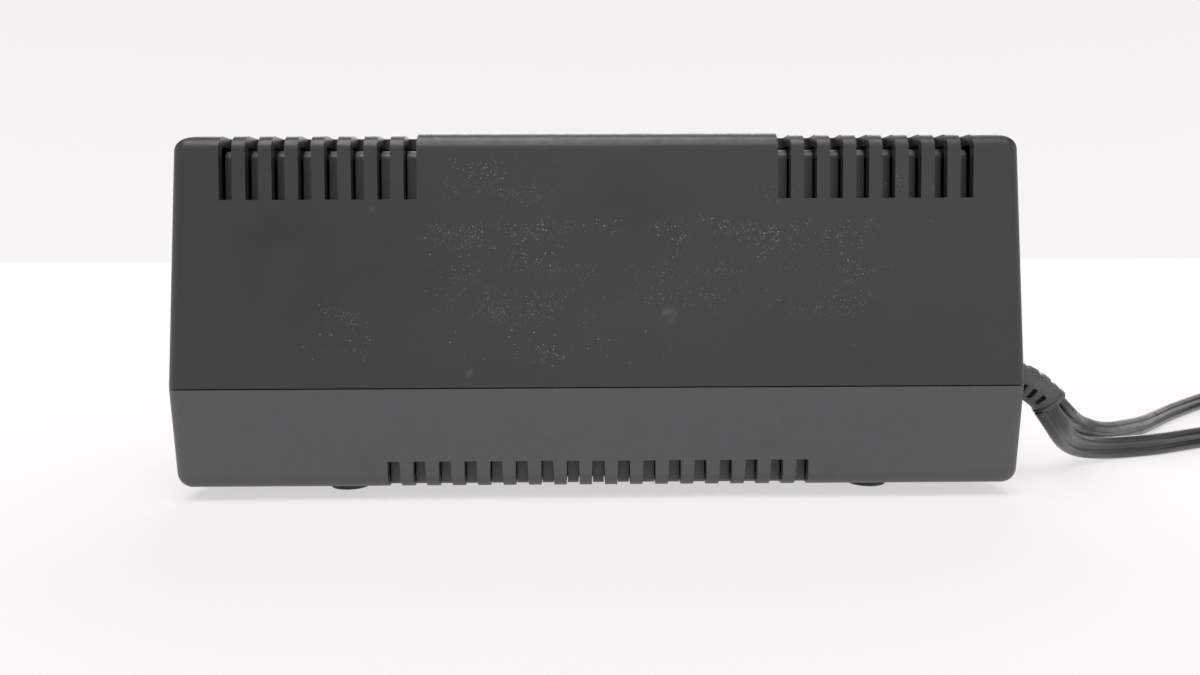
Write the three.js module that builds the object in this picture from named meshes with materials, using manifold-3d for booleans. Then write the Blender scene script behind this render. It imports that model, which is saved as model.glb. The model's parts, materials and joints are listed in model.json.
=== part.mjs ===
// Balance battery charger: vented two-part housing, sloping control panel, power parts,
// and two flat twin leads that leave through one strain relief.
// Millimetres, +Z up. +Y is the vented rear wall, -Y the front with the sockets.

import * as THREE from "three";
import { mergeVertices } from "three/addons/utils/BufferGeometryUtils.js";
import Module from "manifold-3d";

const wasm = await Module();
wasm.setup();

// ---------------------------------------------------------------- driving dimensions

const WIDTH = 202.7; // at the parting line
const DEPTH = 150; // at the parting line
const FOOT_HEIGHT = 3; // gap under the housing
const PARTING_Z = 27;
const TOP_Z = 86;
const SEAM = 0.3; // gap between the two shells
const WALL = 2.5;
const DRAFT = Math.tan((2.5 * Math.PI) / 180);
const EDGE_RADIUS = 3.7;
const EDGE_BEVEL = 3.4;
const GAP = 0.3; // between pieces that touch

const CREST_Y = 2; // where the flat top turns into the slope
const SLOPE_FOOT_Z = 48; // height of the front wall's top
const BAND_WIDTH = 83.6; // raised middle band
const BAND_RISE = 0.45;

const TOP_SLOTS = { first: 42, pitch: 6.1, count: 8, width: 3, foot: 71, reach: 62.3 };
const LOW_SLOTS = { first: 49.9, pitch: 6.05, count: 17, head: 9.5, reach: 62 };
const LOW_SLOT_WIDTHS = [2.8, 3.3]; // at its head and at the bottom edge
const BAFFLE_WIDTH = 2.6;

const FEET = [[62.5, 58], [-68, 58], [64, -57.5], [-66, -57]];
const FOOT_RADIUS = 5;
const BOSSES = [[90, 38], [-90, 38], [90, -60], [-90, -60]];

const BUTTON_TRAVEL = 0.8;
const BUTTONS = { stop: -28.5, down: -9.5, up: 9.5, start: 28.5 }; // across the panel

const BOARD_Z = 12; // underside of the main board
const BOARD_TOP = BOARD_Z + 1.6;

const RELIEF_Y = 55;
const RELIEF_BEND = 17; // length of its bent stretch
const RELIEF_TURN = (54 * Math.PI) / 180;

// Leads: points of each centreline up to its coil, then the coil.
const MAINS_ROUTE = [
  [-114.6, 55.0, 17.9], [-116.4, 54.8, 15.5], [-118.8, 53.2, 12.8], [-122.3, 49.5, 9.8],
  [-127.5, 43.8, 6.9], [-134.0, 37.8, 4.8], [-142.0, 32.8, 3.5], [-150.0, 29.5, 3.15],
  [-160.0, 26.0, 3.15], [-170.0, 20.8, 3.15], [-179.0, 16.0, 3.15], [-189.0, 10.7, 3.2],
  [-199.0, 5.3, 3.3],
];
const MAINS_COIL = { centre: [-235.4, 30.6], outer: 39.5, pitch: 3.3, from: -61.9, turns: 6.272 };
const MAINS_TAIL = [[-278.6, 33.8, 8.6], [-281.2, 41.0, 7.8], [-283.85, 48.3, 7.2]];
const DC_ROUTE = [
  [-117.7, 55.0, 20.1], [-119.5, 53.8, 17.7], [-122.6, 49.8, 15.4], [-127.0, 43.3, 13.1],
  [-133.6, 35.2, 10.1], [-142.3, 27.6, 7.2], [-149.5, 21.2, 6.0], [-157.5, 13.2, 5.2],
  [-170.0, 0.0, 4.0], [-183.0, -15.5, 3.2], [-196.5, -30.4, 3.0], [-209.5, -43.3, 3.0],
  [-222.7, -56.0, 3.0], [-233.0, -66.1, 3.1], [-243.4, -76.3, 3.3],
];
const DC_COIL = { centre: [-278.0, -63.9], outer: 33, pitch: 3.1, from: -45.6, turns: 3.373 };
const DC_TAIL = [[-311.0, -47.8, 7.8], [-311.0, -43.0, 6.6], [-311.0, -38.0, 5.6]];
const LEAD_THICKNESS = 3;
const COIL_BASE = 0.9; // the tie's band passes under the coil
const MAINS_COIL_HEIGHT = 12.4;
const DC_COIL_HEIGHT = 11.8;
const CLIPS = { red: [-301, 4], black: [-327, 4] }; // pivots of the two clips
const CLIP_HEIGHT = 9;
const PLUG = { at: [-284, 48.7, 7.1], heading: 20 }; // cable entry, degrees left of +Y

// ---------------------------------------------------------------- materials

function finish(color, roughness, metalness = 0) {
  return () => new THREE.MeshStandardMaterial({ color, roughness, metalness });
}
const HOUSING = finish(0x3f3f42, 0.62);
const PANEL = finish(0x26282c, 0.45);
const LENS = finish(0x8c9a86, 0.1);
const DISPLAY = finish(0x57624a, 0.35);
const KEYCAP = finish(0x77797d, 0.6);
const KEYCAP_RED = finish(0xa02820, 0.6);
const BOARD = finish(0x245a36, 0.5);
const DARK_PART = finish(0x1b1b1d, 0.5);
const ALUMINIUM = finish(0xb4b7ba, 0.35, 1);
const STEEL = finish(0x9a9c9f, 0.3, 1);
const BRASS = finish(0xb79a55, 0.3, 1);
const LAMINATION = finish(0x55585c, 0.5, 0.8);
const WINDING_TAPE = finish(0xc9a23a, 0.5);
const IVORY = finish(0xd9d4c4, 0.5);
const RUBBER = finish(0x1d1d1f, 0.85);
const CORD = finish(0x3a393c, 0.5);
const RED = finish(0xa3201c, 0.5);
const BLACK = finish(0x202022, 0.5);

// ---------------------------------------------------------------- solids from geometry

function solid(geometry) {
  geometry.deleteAttribute("normal");
  geometry.deleteAttribute("uv");
  const merged = mergeVertices(geometry, 1e-4);
  return new wasm.Manifold(new wasm.Mesh({
    numProp: 3,
    vertProperties: new Float32Array(merged.attributes.position.array),
    triVerts: new Uint32Array(merged.index.array),
  }));
}

function geometryOf(body) {
  const mesh = body.getMesh();
  const geometry = new THREE.BufferGeometry();
  geometry.setAttribute("position", new THREE.BufferAttribute(mesh.vertProperties, 3));
  geometry.setIndex(new THREE.BufferAttribute(mesh.triVerts, 1));
  return geometry;
}

function boxGeometry([x0, x1], [y0, y1], [z0, z1]) {
  const geometry = new THREE.BoxGeometry(x1 - x0, y1 - y0, z1 - z0);
  return geometry.translate((x0 + x1) / 2, (y0 + y1) / 2, (z0 + z1) / 2);
}

function box(x, y, z) {
  return solid(boxGeometry(x, y, z));
}

// A closed lathe body about +Z from [radius, height] points, turned to the wanted axis.
function latheGeometry(profile, axis = "z", segments = 16) {
  const geometry = new THREE.LatheGeometry(
    profile.map(([radius, height]) => new THREE.Vector2(radius, height)), segments);
  if (axis === "z") geometry.rotateX(Math.PI / 2);
  if (axis === "-y") geometry.rotateX(Math.PI);
  if (axis === "x") geometry.rotateZ(-Math.PI / 2);
  return geometry;
}

function rod(radius, from, to) {
  return [[0, from], [radius, from], [radius, to], [0, to]];
}

function lathe(profile, axis, segments) {
  return solid(latheGeometry(profile, axis, segments));
}

function uprightRod(radius, [x, y], from, to, segments = 12) {
  return lathe(rod(radius, from, to), "z", segments).translate([x, y, 0]);
}

// Moves each edge of a convex outline inwards by its own distance.
function insetOutline(points, distances) {
  const lines = points.map(([ax, ay], i) => {
    const [bx, by] = points[(i + 1) % points.length];
    const length = Math.hypot(bx - ax, by - ay);
    const inward = [-(by - ay) / length, (bx - ax) / length];
    const d = distances[i];
    return { x: ax + inward[0] * d, y: ay + inward[1] * d, dx: bx - ax, dy: by - ay };
  });
  return lines.map((b, i) => {
    const a = lines[(i + lines.length - 1) % lines.length];
    const t = ((b.x - a.x) * b.dy - (b.y - a.y) * b.dx) / (a.dx * b.dy - a.dy * b.dx);
    return [a.x + a.dx * t, a.y + a.dy * t];
  });
}

// A counter-clockwise outline with every corner rounded by an arc.
function roundedShape(points, radius) {
  const shape = new THREE.Shape();
  points.forEach((corner, i) => {
    const before = points[(i + points.length - 1) % points.length];
    const after = points[(i + 1) % points.length];
    const inDirection = Math.atan2(corner[1] - before[1], corner[0] - before[0]);
    const outDirection = Math.atan2(after[1] - corner[1], after[0] - corner[0]);
    let turn = outDirection - inDirection;
    if (turn < -Math.PI) turn += 2 * Math.PI;
    if (turn > Math.PI) turn -= 2 * Math.PI;
    const side = Math.sign(turn);
    const back = radius * Math.tan(Math.abs(turn) / 2);
    const startX = corner[0] - Math.cos(inDirection) * back;
    const startY = corner[1] - Math.sin(inDirection) * back;
    const centreX = startX - Math.sin(inDirection) * radius * side;
    const centreY = startY + Math.cos(inDirection) * radius * side;
    const quarter = (Math.PI / 2) * side;
    shape.absarc(centreX, centreY, radius,
      inDirection - quarter, inDirection - quarter + turn, side < 0);
  });
  return shape;
}

function polygonShape(points) {
  return new THREE.Shape(points.map(([x, y]) => new THREE.Vector2(x, y)));
}

const ALONG_X = new THREE.Matrix4().makeBasis(
  new THREE.Vector3(0, 1, 0), new THREE.Vector3(0, 0, 1), new THREE.Vector3(1, 0, 0));

// An outline drawn in (Y, Z), extruded along X and centred on it.
function alongX(shape, [x0, x1], bevel = 0, curveSegments = 2) {
  const geometry = new THREE.ExtrudeGeometry(shape, {
    depth: x1 - x0 - 2 * bevel, curveSegments,
    bevelEnabled: bevel > 0, bevelThickness: bevel, bevelSize: bevel,
    bevelOffset: -bevel, bevelSegments: 3,
  });
  return geometry.translate(0, 0, x0 + bevel).applyMatrix4(ALONG_X);
}

// An outline drawn in (X, Y), extruded upwards.
function upwards(shape, [z0, z1], bevel = 0, curveSegments = 2) {
  const geometry = new THREE.ExtrudeGeometry(shape, {
    depth: z1 - z0 - 2 * bevel, curveSegments,
    bevelEnabled: bevel > 0, bevelThickness: bevel, bevelSize: bevel,
    bevelOffset: -bevel, bevelSegments: 2,
  });
  return geometry.translate(0, 0, z0 + bevel);
}

function union(bodies) {
  return bodies.reduce((whole, body) => whole.add(body));
}

// ---------------------------------------------------------------- the assembly

const charger = new THREE.Group();

function place(parent, name, geometry, material) {
  const mesh = new THREE.Mesh(geometry.isBufferGeometry ? geometry : geometryOf(geometry),
    material());
  mesh.name = name;
  parent.add(mesh);
}

// ---------------------------------------------------------------- housing

const HALF = DEPTH / 2;
const halfDepthAt = (z) => HALF - Math.abs(z - PARTING_Z) * DRAFT;
const OVERRUN = 7; // each outline runs past the parting line and is trimmed there

const UPPER_OUTLINE = [
  [-HALF - OVERRUN * DRAFT, PARTING_Z - OVERRUN],
  [HALF + OVERRUN * DRAFT, PARTING_Z - OVERRUN],
  [halfDepthAt(TOP_Z), TOP_Z],
  [CREST_Y, TOP_Z],
  [-halfDepthAt(SLOPE_FOOT_Z), SLOPE_FOOT_Z],
];
const LOWER_OUTLINE = [
  [-halfDepthAt(FOOT_HEIGHT), FOOT_HEIGHT],
  [halfDepthAt(FOOT_HEIGHT), FOOT_HEIGHT],
  [HALF + OVERRUN * DRAFT, PARTING_Z + OVERRUN],
  [-HALF - OVERRUN * DRAFT, PARTING_Z + OVERRUN],
];

// Side walls lean in as they leave the parting line, up or down.
function leanSides(geometry, direction) {
  const position = geometry.attributes.position;
  for (let i = 0; i < position.count; i += 1) {
    const away = direction * (position.getZ(i) - PARTING_Z);
    position.setX(i, position.getX(i) * (1 - (away * DRAFT * 2) / WIDTH));
  }
  return geometry;
}

function housingBlock(outline, direction, inset, halfWidth = WIDTH / 2) {
  const radius = Math.max(EDGE_RADIUS - inset, 1.2);
  const bevel = Math.max(EDGE_BEVEL - inset, 0.9);
  const corners = insetOutline(outline, outline.map(() => inset));
  const shape = roundedShape(corners, radius);
  const reach = halfWidth - inset;
  return solid(leanSides(alongX(shape, [-reach, reach], bevel), direction));
}

function slab(z0, z1) {
  return box([-WIDTH, WIDTH], [-WIDTH, WIDTH], [z0, z1]);
}

const aboveSeam = slab(PARTING_Z + SEAM / 2, 2 * TOP_Z);
const belowSeam = slab(-TOP_Z, PARTING_Z - SEAM / 2);

// Bypass baffle: a strip behind each slot, one wall gap inwards, that follows the slot
// round the corner. side is +1 at the top edge and -1 at the bottom edge.
const BAFFLE_SETBACK = 3.8;
const BAFFLE_THICKNESS = 1.6;

function topBaffles(slots) {
  const outer = halfDepthAt(slots.foot) - BAFFLE_SETBACK;
  const outerTop = halfDepthAt(TOP_Z) - BAFFLE_SETBACK;
  const top = TOP_Z - 3.3;
  const front = slots.reach - 3.3;
  const footZ = slots.foot - 2.6;
  const strip = new THREE.Shape();
  const bend = 2.3;
  strip.moveTo(outer - BAFFLE_THICKNESS, footZ);
  strip.lineTo(outer, footZ);
  strip.lineTo(outerTop, top - bend);
  strip.absarc(outerTop - bend, top - bend, bend, 0, Math.PI / 2, false);
  strip.lineTo(front, top);
  strip.lineTo(front, top - BAFFLE_THICKNESS);
  strip.lineTo(outerTop - BAFFLE_THICKNESS, top - BAFFLE_THICKNESS);
  const footRail = [halfDepthAt(slots.foot) - WALL + 0.8, footZ];
  const last = slots.first + (slots.count - 1) * slots.pitch + slots.width;
  const bodies = [];
  for (const side of [-1, 1]) {
    const span = [side * (slots.first - 1), side * (last + 1)].sort((a, b) => a - b);
    bodies.push(box(span, [outer - BAFFLE_THICKNESS, footRail[0]], [footZ, footZ + 1.6]));
    bodies.push(box(span, [front - 0.1, front + 2], [top - BAFFLE_THICKNESS, TOP_Z - WALL + 0.8]));
    for (let i = 0; i < slots.count; i += 1) {
      const middle = side * (slots.first + i * slots.pitch + slots.width / 2);
      const across = [middle - BAFFLE_WIDTH / 2, middle + BAFFLE_WIDTH / 2];
      bodies.push(solid(alongX(strip, across)));
    }
  }
  return union(bodies);
}

function topSlotCutters(slots) {
  const bodies = [];
  for (const side of [-1, 1]) {
    for (let i = 0; i < slots.count; i += 1) {
      const near = side * (slots.first + i * slots.pitch);
      const far = near + side * slots.width;
      bodies.push(box([Math.min(near, far), Math.max(near, far)],
        [slots.reach, DEPTH], [slots.foot, 2 * TOP_Z]));
    }
  }
  return union(bodies);
}

function lowBaffles(slots) {
  const outer = halfDepthAt(slots.head) - BAFFLE_SETBACK;
  const floor = FOOT_HEIGHT + WALL;
  const head = slots.head + 2.3;
  const low = floor + 0.8;
  const front = slots.reach - 3;
  const strip = polygonShape([
    [outer - BAFFLE_THICKNESS, head], [outer - BAFFLE_THICKNESS, low + BAFFLE_THICKNESS],
    [front, low + BAFFLE_THICKNESS], [front, low], [outer, low], [outer, head],
  ]);
  const last = slots.first - (slots.count - 1) * slots.pitch - LOW_SLOT_WIDTHS[1];
  const span = [last - 1, slots.first + 1];
  const bodies = [
    box(span, [outer - BAFFLE_THICKNESS, halfDepthAt(slots.head) - WALL + 0.8], [head - 1.6, head]),
    box(span, [front - 0.1, front + 2], [floor - 0.8, low + BAFFLE_THICKNESS]),
  ];
  for (let i = 0; i < slots.count; i += 1) {
    const middle = slots.first - i * slots.pitch - LOW_SLOT_WIDTHS[0] / 2;
    bodies.push(solid(alongX(strip, [middle - BAFFLE_WIDTH / 2, middle + BAFFLE_WIDTH / 2])));
  }
  return union(bodies);
}

function lowSlotCutters(slots) {
  const bodies = [];
  const [narrow, wide] = LOW_SLOT_WIDTHS;
  for (let i = 0; i < slots.count; i += 1) {
    const middle = slots.first - i * slots.pitch - narrow / 2;
    const outline = polygonShape([
      [middle - narrow / 2, slots.head], [middle - wide / 2, 0],
      [middle + wide / 2, 0], [middle + narrow / 2, slots.head],
    ]);
    const geometry = upwards(outline, [0, DEPTH - slots.reach]);
    geometry.rotateX(Math.PI / 2).translate(0, DEPTH, 0);
    bodies.push(solid(geometry));
  }
  return union(bodies);
}

// The sloping panel has its own frame: U across, V up the slope, W out of it.
const SLOPE_ANGLE = Math.atan2(TOP_Z - SLOPE_FOOT_Z, CREST_Y + halfDepthAt(SLOPE_FOOT_Z));
const slopeFrame = new THREE.Group();
slopeFrame.rotation.x = SLOPE_ANGLE;
slopeFrame.position.set(
  0,
  (CREST_Y - halfDepthAt(SLOPE_FOOT_Z)) / 2 - BAND_RISE * Math.sin(SLOPE_ANGLE),
  (TOP_Z + SLOPE_FOOT_Z) / 2 + BAND_RISE * Math.cos(SLOPE_ANGLE),
);
charger.add(slopeFrame);
slopeFrame.updateMatrix();

function onSlope(geometry) {
  return geometry.clone().applyMatrix4(slopeFrame.matrix);
}

const PANEL_HALF = [39, 35];
const PANEL_THICKNESS = 1;
const WINDOW = { u: 32, low: 4.3, high: 20.7 };
const BUTTON_HALF = [6.5, 4];
const BUTTON_V = -18;

function roundedRectangle([u0, u1], [v0, v1], radius) {
  return roundedShape([[u0, v0], [u1, v0], [u1, v1], [u0, v1]], radius);
}

function buttonOutline(u, margin, radius) {
  const [hu, hv] = BUTTON_HALF;
  return roundedRectangle([u - hu - margin, u + hu + margin],
    [BUTTON_V - hv - margin, BUTTON_V + hv + margin], radius);
}

function panelCutters() {
  const recess = roundedRectangle([-PANEL_HALF[0] - GAP, PANEL_HALF[0] + GAP],
    [-PANEL_HALF[1] - GAP, PANEL_HALF[1] + GAP], 3);
  const view = [[-WINDOW.u - 0.5, WINDOW.u + 0.5], [WINDOW.low - 0.5, WINDOW.high + 0.5]];
  return union([
    solid(onSlope(upwards(recess, [-PANEL_THICKNESS - GAP, 5]))),
    solid(onSlope(upwards(roundedRectangle(...view, 1), [-12, 3]))),
    ...Object.values(BUTTONS).map((u) => solid(onSlope(upwards(buttonOutline(u, GAP, 1.5), [-12, 3])))),
  ]);
}

function upperBosses() {
  return union(BOSSES.map((at) => uprightRod(4, at, PARTING_Z - SEAM - 2, TOP_Z)))
    .intersect(housingBlock(UPPER_OUTLINE, 1, 1))
    .intersect(slab(PARTING_Z - 2, 2 * TOP_Z));
}

// Hole through the wall for the relief's neck, and room behind it for its flange.
function reliefHole() {
  const through = lathe(rod(4.5, -WIDTH, -WIDTH / 2 + 8), "x");
  const room = lathe(rod(6.6, -WIDTH / 2 + WALL + 0.1, -WIDTH / 2 + 8), "x");
  return through.add(room).translate([0, RELIEF_Y, PARTING_Z]);
}

function upperShell() {
  const inWall = 0.25; // the band leaves the end walls below the rounded edges
  const bandOutline = insetOutline(UPPER_OUTLINE, [1, inWall, -BAND_RISE, -BAND_RISE, inWall]);
  const band = solid(alongX(roundedShape(bandOutline, EDGE_RADIUS - inWall),
    [-BAND_WIDTH / 2, BAND_WIDTH / 2]));
  return housingBlock(UPPER_OUTLINE, 1, 0).add(band)
    .subtract(housingBlock(UPPER_OUTLINE, 1, WALL))
    .subtract(topSlotCutters(TOP_SLOTS))
    .add(topBaffles(TOP_SLOTS))
    .subtract(panelCutters())
    .intersect(aboveSeam)
    .add(upperBosses())
    .subtract(union(BOSSES.map((at) => uprightRod(1.6, at, 0, 42, 12))))
    .subtract(reliefHole());
}

// Front sockets stand on the main board and show through the lower shell's front wall.
const SOCKET_Z = BOARD_TOP + GAP;
const SOCKET_HEIGHT = 5.75;
const SOCKET_DEPTH = 9.8;
const PIN_PITCH = 2.5;
const BALANCE_PINS = [3, 4, 5, 6, 7];
const socketWidth = (pins) => (pins - 1) * PIN_PITCH + 4.9;
const balanceSockets = [];
let socketEdge = -82;
for (const pins of BALANCE_PINS) {
  balanceSockets.push({ pins, x: socketEdge + socketWidth(pins) / 2 });
  socketEdge += socketWidth(pins) + 3.2;
}
const TEMPERATURE_SOCKET = { pins: 3, x: 21 };
const JACKS = { black: [42, 18.2], red: [61, 18.2] };

function lowerBosses() {
  const posts = BOSSES.map((at) => uprightRod(4.8, at, FOOT_HEIGHT + 0.5, PARTING_Z - 3));
  const standoffs = [[70, 46], [-70, 46], [70, -50], [-70, -50]].map(
    (at) => uprightRod(3, at, FOOT_HEIGHT + 0.5, BOARD_Z - GAP, 16));
  return union([...posts, ...standoffs])
    .intersect(housingBlock(LOWER_OUTLINE, -1, 1));
}

function seamLip() {
  const tongue = housingBlock(LOWER_OUTLINE, -1, WALL + SEAM)
    .intersect(slab(PARTING_Z - 3.4, PARTING_Z + 2.2));
  const root = housingBlock(LOWER_OUTLINE, -1, WALL - 0.5)
    .intersect(slab(PARTING_Z - 4, PARTING_Z - 2));
  const clear = BOSSES.map((at) => uprightRod(4.3, at, PARTING_Z - 2.7, PARTING_Z + 5));
  return tongue.add(root)
    .subtract(housingBlock(LOWER_OUTLINE, -1, 4.1))
    .subtract(union(clear));
}

function lowerShell() {
  const footPockets = FEET.map((at) => uprightRod(FOOT_RADIUS + 0.4, at, 0, FOOT_HEIGHT + 0.7, 16));
  const counterbores = BOSSES.map((at) => uprightRod(3.3, at, 0, 14));
  const screwHoles = BOSSES.map((at) => uprightRod(1.9, at, 0, PARTING_Z + 3, 12));
  const windows = [...balanceSockets, TEMPERATURE_SOCKET].map(({ pins, x }) => {
    const half = socketWidth(pins) / 2 + GAP;
    return box([x - half, x + half], [-DEPTH, -HALF + 8],
      [SOCKET_Z - GAP, SOCKET_Z + SOCKET_HEIGHT + GAP]);
  });
  const jackHoles = Object.values(JACKS).map(([x, z]) => lathe(rod(4.3, HALF - 8, DEPTH), "-y")
    .translate([x, 0, z]));
  return housingBlock(LOWER_OUTLINE, -1, 0)
    .subtract(housingBlock(LOWER_OUTLINE, -1, WALL))
    .subtract(lowSlotCutters(LOW_SLOTS))
    .add(lowBaffles(LOW_SLOTS))
    .intersect(belowSeam)
    .add(seamLip())
    .add(lowerBosses())
    .subtract(union([...footPockets, ...counterbores, ...screwHoles, ...windows, ...jackHoles]))
    .subtract(reliefHole());
}

place(charger, "upper_shell", upperShell(), HOUSING);
place(charger, "lower_shell", lowerShell(), HOUSING);

FEET.forEach(([x, y], i) => {
  const profile = [[0, 0], [4.2, 0], [4.8, 0.4], [FOOT_RADIUS, 1], [FOOT_RADIUS, 3.4], [0, 3.4]];
  place(charger, `foot_${i + 1}`, latheGeometry(profile).translate(x, y, 0), RUBBER);
});

BOSSES.forEach(([x, y], i) => {
  const profile = [[0, 11.6], [1.1, 11.6], [1.1, 10.6], [2.7, 10.6], [2.9, 11.2], [2.9, 13.7],
    [1.3, 13.7], [1.3, 38], [0, 39.5]];
  place(charger, `housing_screw_${i + 1}`, latheGeometry(profile, "z", 10).translate(x, y, 0), STEEL);
});

// ---------------------------------------------------------------- control panel

function controlPanel() {
  const plate = solid(upwards(roundedRectangle([-PANEL_HALF[0], PANEL_HALF[0]],
    [-PANEL_HALF[1], PANEL_HALF[1]], 2.7), [-PANEL_THICKNESS, 0]));
  const view = roundedRectangle([-WINDOW.u - GAP, WINDOW.u + GAP],
    [WINDOW.low - GAP, WINDOW.high + GAP], 1);
  const holes = Object.values(BUTTONS).map((u) => solid(upwards(buttonOutline(u, GAP, 1.5), [-5, 5])));
  return plate.subtract(union([solid(upwards(view, [-5, 5])), ...holes]));
}

function buttonBody(u) {
  const cap = solid(upwards(buttonOutline(u, 0, 1.2), [-5, 1.3], 0.4));
  const flange = solid(upwards(buttonOutline(u, 1.1, 1.2), [-5, -3.7]));
  return cap.add(flange);
}

const SHELL_INSIDE = -(WALL + BAND_RISE);
const KEY_BOARD_TOP = -11;

place(slopeFrame, "control_panel", controlPanel(), PANEL);
place(slopeFrame, "display_window",
  upwards(roundedRectangle([-WINDOW.u, WINDOW.u], [WINDOW.low, WINDOW.high], 0.8),
    [-PANEL_THICKNESS, -0.1]), LENS);

const bezel = SHELL_INSIDE - 0.35;
place(slopeFrame, "lcd_module",
  box([-35.5, 35.5], [0.5, 24.5], [bezel - 7, bezel])
    .subtract(box([-32.3, 32.3], [4.5, 20.5], [bezel - 0.8, bezel + 1]))
    .add(box([-40, 40], [-5.5, 30.5], [bezel - 8.6, bezel - 6.9])), DISPLAY);

place(slopeFrame, "button_board",
  boxGeometry([-36, 36], [-27, -9], [KEY_BOARD_TOP - 1.6, KEY_BOARD_TOP]), BOARD);

Object.entries(BUTTONS).forEach(([name, u], i) => {
  place(slopeFrame, `button_${name}`, buttonBody(u), name === "stop" ? KEYCAP_RED : KEYCAP);
  const base = box([u - 3, u + 3], [BUTTON_V - 3, BUTTON_V + 3], [KEY_BOARD_TOP + GAP, -7.4]);
  const plunger = lathe(rod(1.7, -7.6, -5 - BUTTON_TRAVEL - 0.35), "z", 16).translate([u, BUTTON_V, 0]);
  place(slopeFrame, `key_switch_${i + 1}`, base.add(plunger), DARK_PART);
});

// ---------------------------------------------------------------- sockets on the front

function pinSocket({ pins, x }) {
  const half = socketWidth(pins) / 2;
  const mouth = -halfDepthAt(SOCKET_Z) + 0.1;
  const y = [mouth, mouth + SOCKET_DEPTH];
  const shell = box([x - half, x + half], y, [SOCKET_Z, SOCKET_Z + SOCKET_HEIGHT]);
  const hollow = box([x - half + 0.8, x + half - 0.8], [mouth - 5, mouth + 7.6],
    [SOCKET_Z + 0.9, SOCKET_Z + SOCKET_HEIGHT - 0.9]);
  const contacts = [];
  for (let i = 0; i < pins; i += 1) {
    const at = x + (i - (pins - 1) / 2) * PIN_PITCH;
    const level = SOCKET_Z + SOCKET_HEIGHT / 2;
    contacts.push(box([at - 0.32, at + 0.32], [mouth + 1.6, mouth + 8], [level - 0.32, level + 0.32]));
  }
  return shell.subtract(hollow).add(union(contacts));
}

balanceSockets.forEach((socket, i) => {
  place(charger, `balance_socket_${i + 1}`, pinSocket(socket), IVORY);
});
place(charger, "temperature_socket", pinSocket(TEMPERATURE_SOCKET), IVORY);

const JACK_PROFILE = [[0, -18], [3.6, -18], [3.6, -4.5], [4, -4.5], [4, GAP], [5.6, GAP],
  [5.6, 2.4], [5.1, 2.9], [2.05, 2.9], [2.05, -15], [0, -15]];
for (const [name, [x, z]] of Object.entries(JACKS)) {
  const jack = latheGeometry(JACK_PROFILE, "-y").translate(x, -halfDepthAt(z), z);
  place(charger, `output_socket_${name}`, jack, name === "red" ? RED : BLACK);
}

// ---------------------------------------------------------------- power parts inside

place(charger, "main_board", box([-82, 82], [-70, 56], [BOARD_Z, BOARD_TOP]), BOARD);
const ON_BOARD = BOARD_TOP + GAP;

const TRANSFORMER = [-46, 22];
function transformerCore() {
  const [x, y] = TRANSFORMER;
  const core = box([x - 28.5, x + 28.5], [y - 14, y + 14], [ON_BOARD, ON_BOARD + 47.5]);
  const openings = [-1, 1].map((side) => box(
    [x + side * 14.25 - 4.75, x + side * 14.25 + 4.75], [y - 20, y + 20],
    [ON_BOARD + 9.5, ON_BOARD + 38]));
  return core.subtract(union(openings));
}
function transformerWinding() {
  const [x, y] = TRANSFORMER;
  const bobbin = upwards(roundedRectangle([x - 18.6, x + 18.6], [y - 24, y + 24], 4),
    [ON_BOARD + 9.9, ON_BOARD + 37.6]);
  const leg = box([x - 9.9, x + 9.9], [y - 14.4, y + 14.4], [0, TOP_Z]);
  return solid(bobbin).subtract(leg);
}
place(charger, "transformer_core", transformerCore(), LAMINATION);
place(charger, "transformer_winding", transformerWinding(), WINDING_TAPE);

[[5, 36], [5, 14]].forEach(([x, y], i) => {
  const profile = [[0, 0], [8.4, 0], [9, 0.6], [9, 2.4], [8.6, 3], [9, 3.6], [9, 31.4], [8.4, 32], [0, 32]];
  place(charger, `filter_capacitor_${i + 1}`,
    latheGeometry(profile).translate(x, y, ON_BOARD), DARK_PART);
});
place(charger, "rectifier_bridge",
  boxGeometry([-15, 5], [-12, -7.5], [ON_BOARD, ON_BOARD + 15]), DARK_PART);
place(charger, "mains_fuse", latheGeometry(
  [[0, -10], [2.6, -10], [2.6, -4.5], [2.3, -4.5], [2.3, 4.5], [2.6, 4.5], [2.6, 10], [0, 10]], "x", 16)
  .translate(-58, -22, ON_BOARD + 2.7), STEEL);
place(charger, "power_choke",
  new THREE.TorusGeometry(10, 4.2, 8, 18).translate(32, 20, ON_BOARD + 4.2), WINDING_TAPE);
place(charger, "buzzer", latheGeometry(
  [[0, 0], [6, 0], [6, 8], [1.2, 8], [1.2, 6.5], [0, 6.5]]).translate(28, -40, ON_BOARD), DARK_PART);

// Fins stand off a base plate, with the air rising between them.
function heatSink() {
  const base = { x: 50, y0: -24, y1: 44, thickness: 4, fins: 9, fin: 1.8, reach: 26 };
  const pitch = (base.y1 - base.y0 - base.fin) / (base.fins - 1);
  const outline = [[base.x, base.y1], [base.x, base.y0]];
  for (let i = 0; i < base.fins; i += 1) {
    const y = base.y0 + i * pitch;
    outline.push([base.x + base.reach, y], [base.x + base.reach, y + base.fin]);
    if (i < base.fins - 1) {
      outline.push([base.x + base.thickness, y + base.fin], [base.x + base.thickness, y + pitch]);
    }
  }
  return upwards(polygonShape(outline), [ON_BOARD, ON_BOARD + 44]);
}
place(charger, "heat_sink", heatSink(), ALUMINIUM);

// ---------------------------------------------------------------- strain relief

// Straight along +Z first: flange inside the wall, neck, ribs with open slits above and
// below that leave a bridge on each side, and the end collar. Then it is bent downwards.
const RIBS = { first: 2.85, pitch: 3.1, slit: 1.3, count: 4 };
const RELIEF_LENGTH = 16.75;

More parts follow.
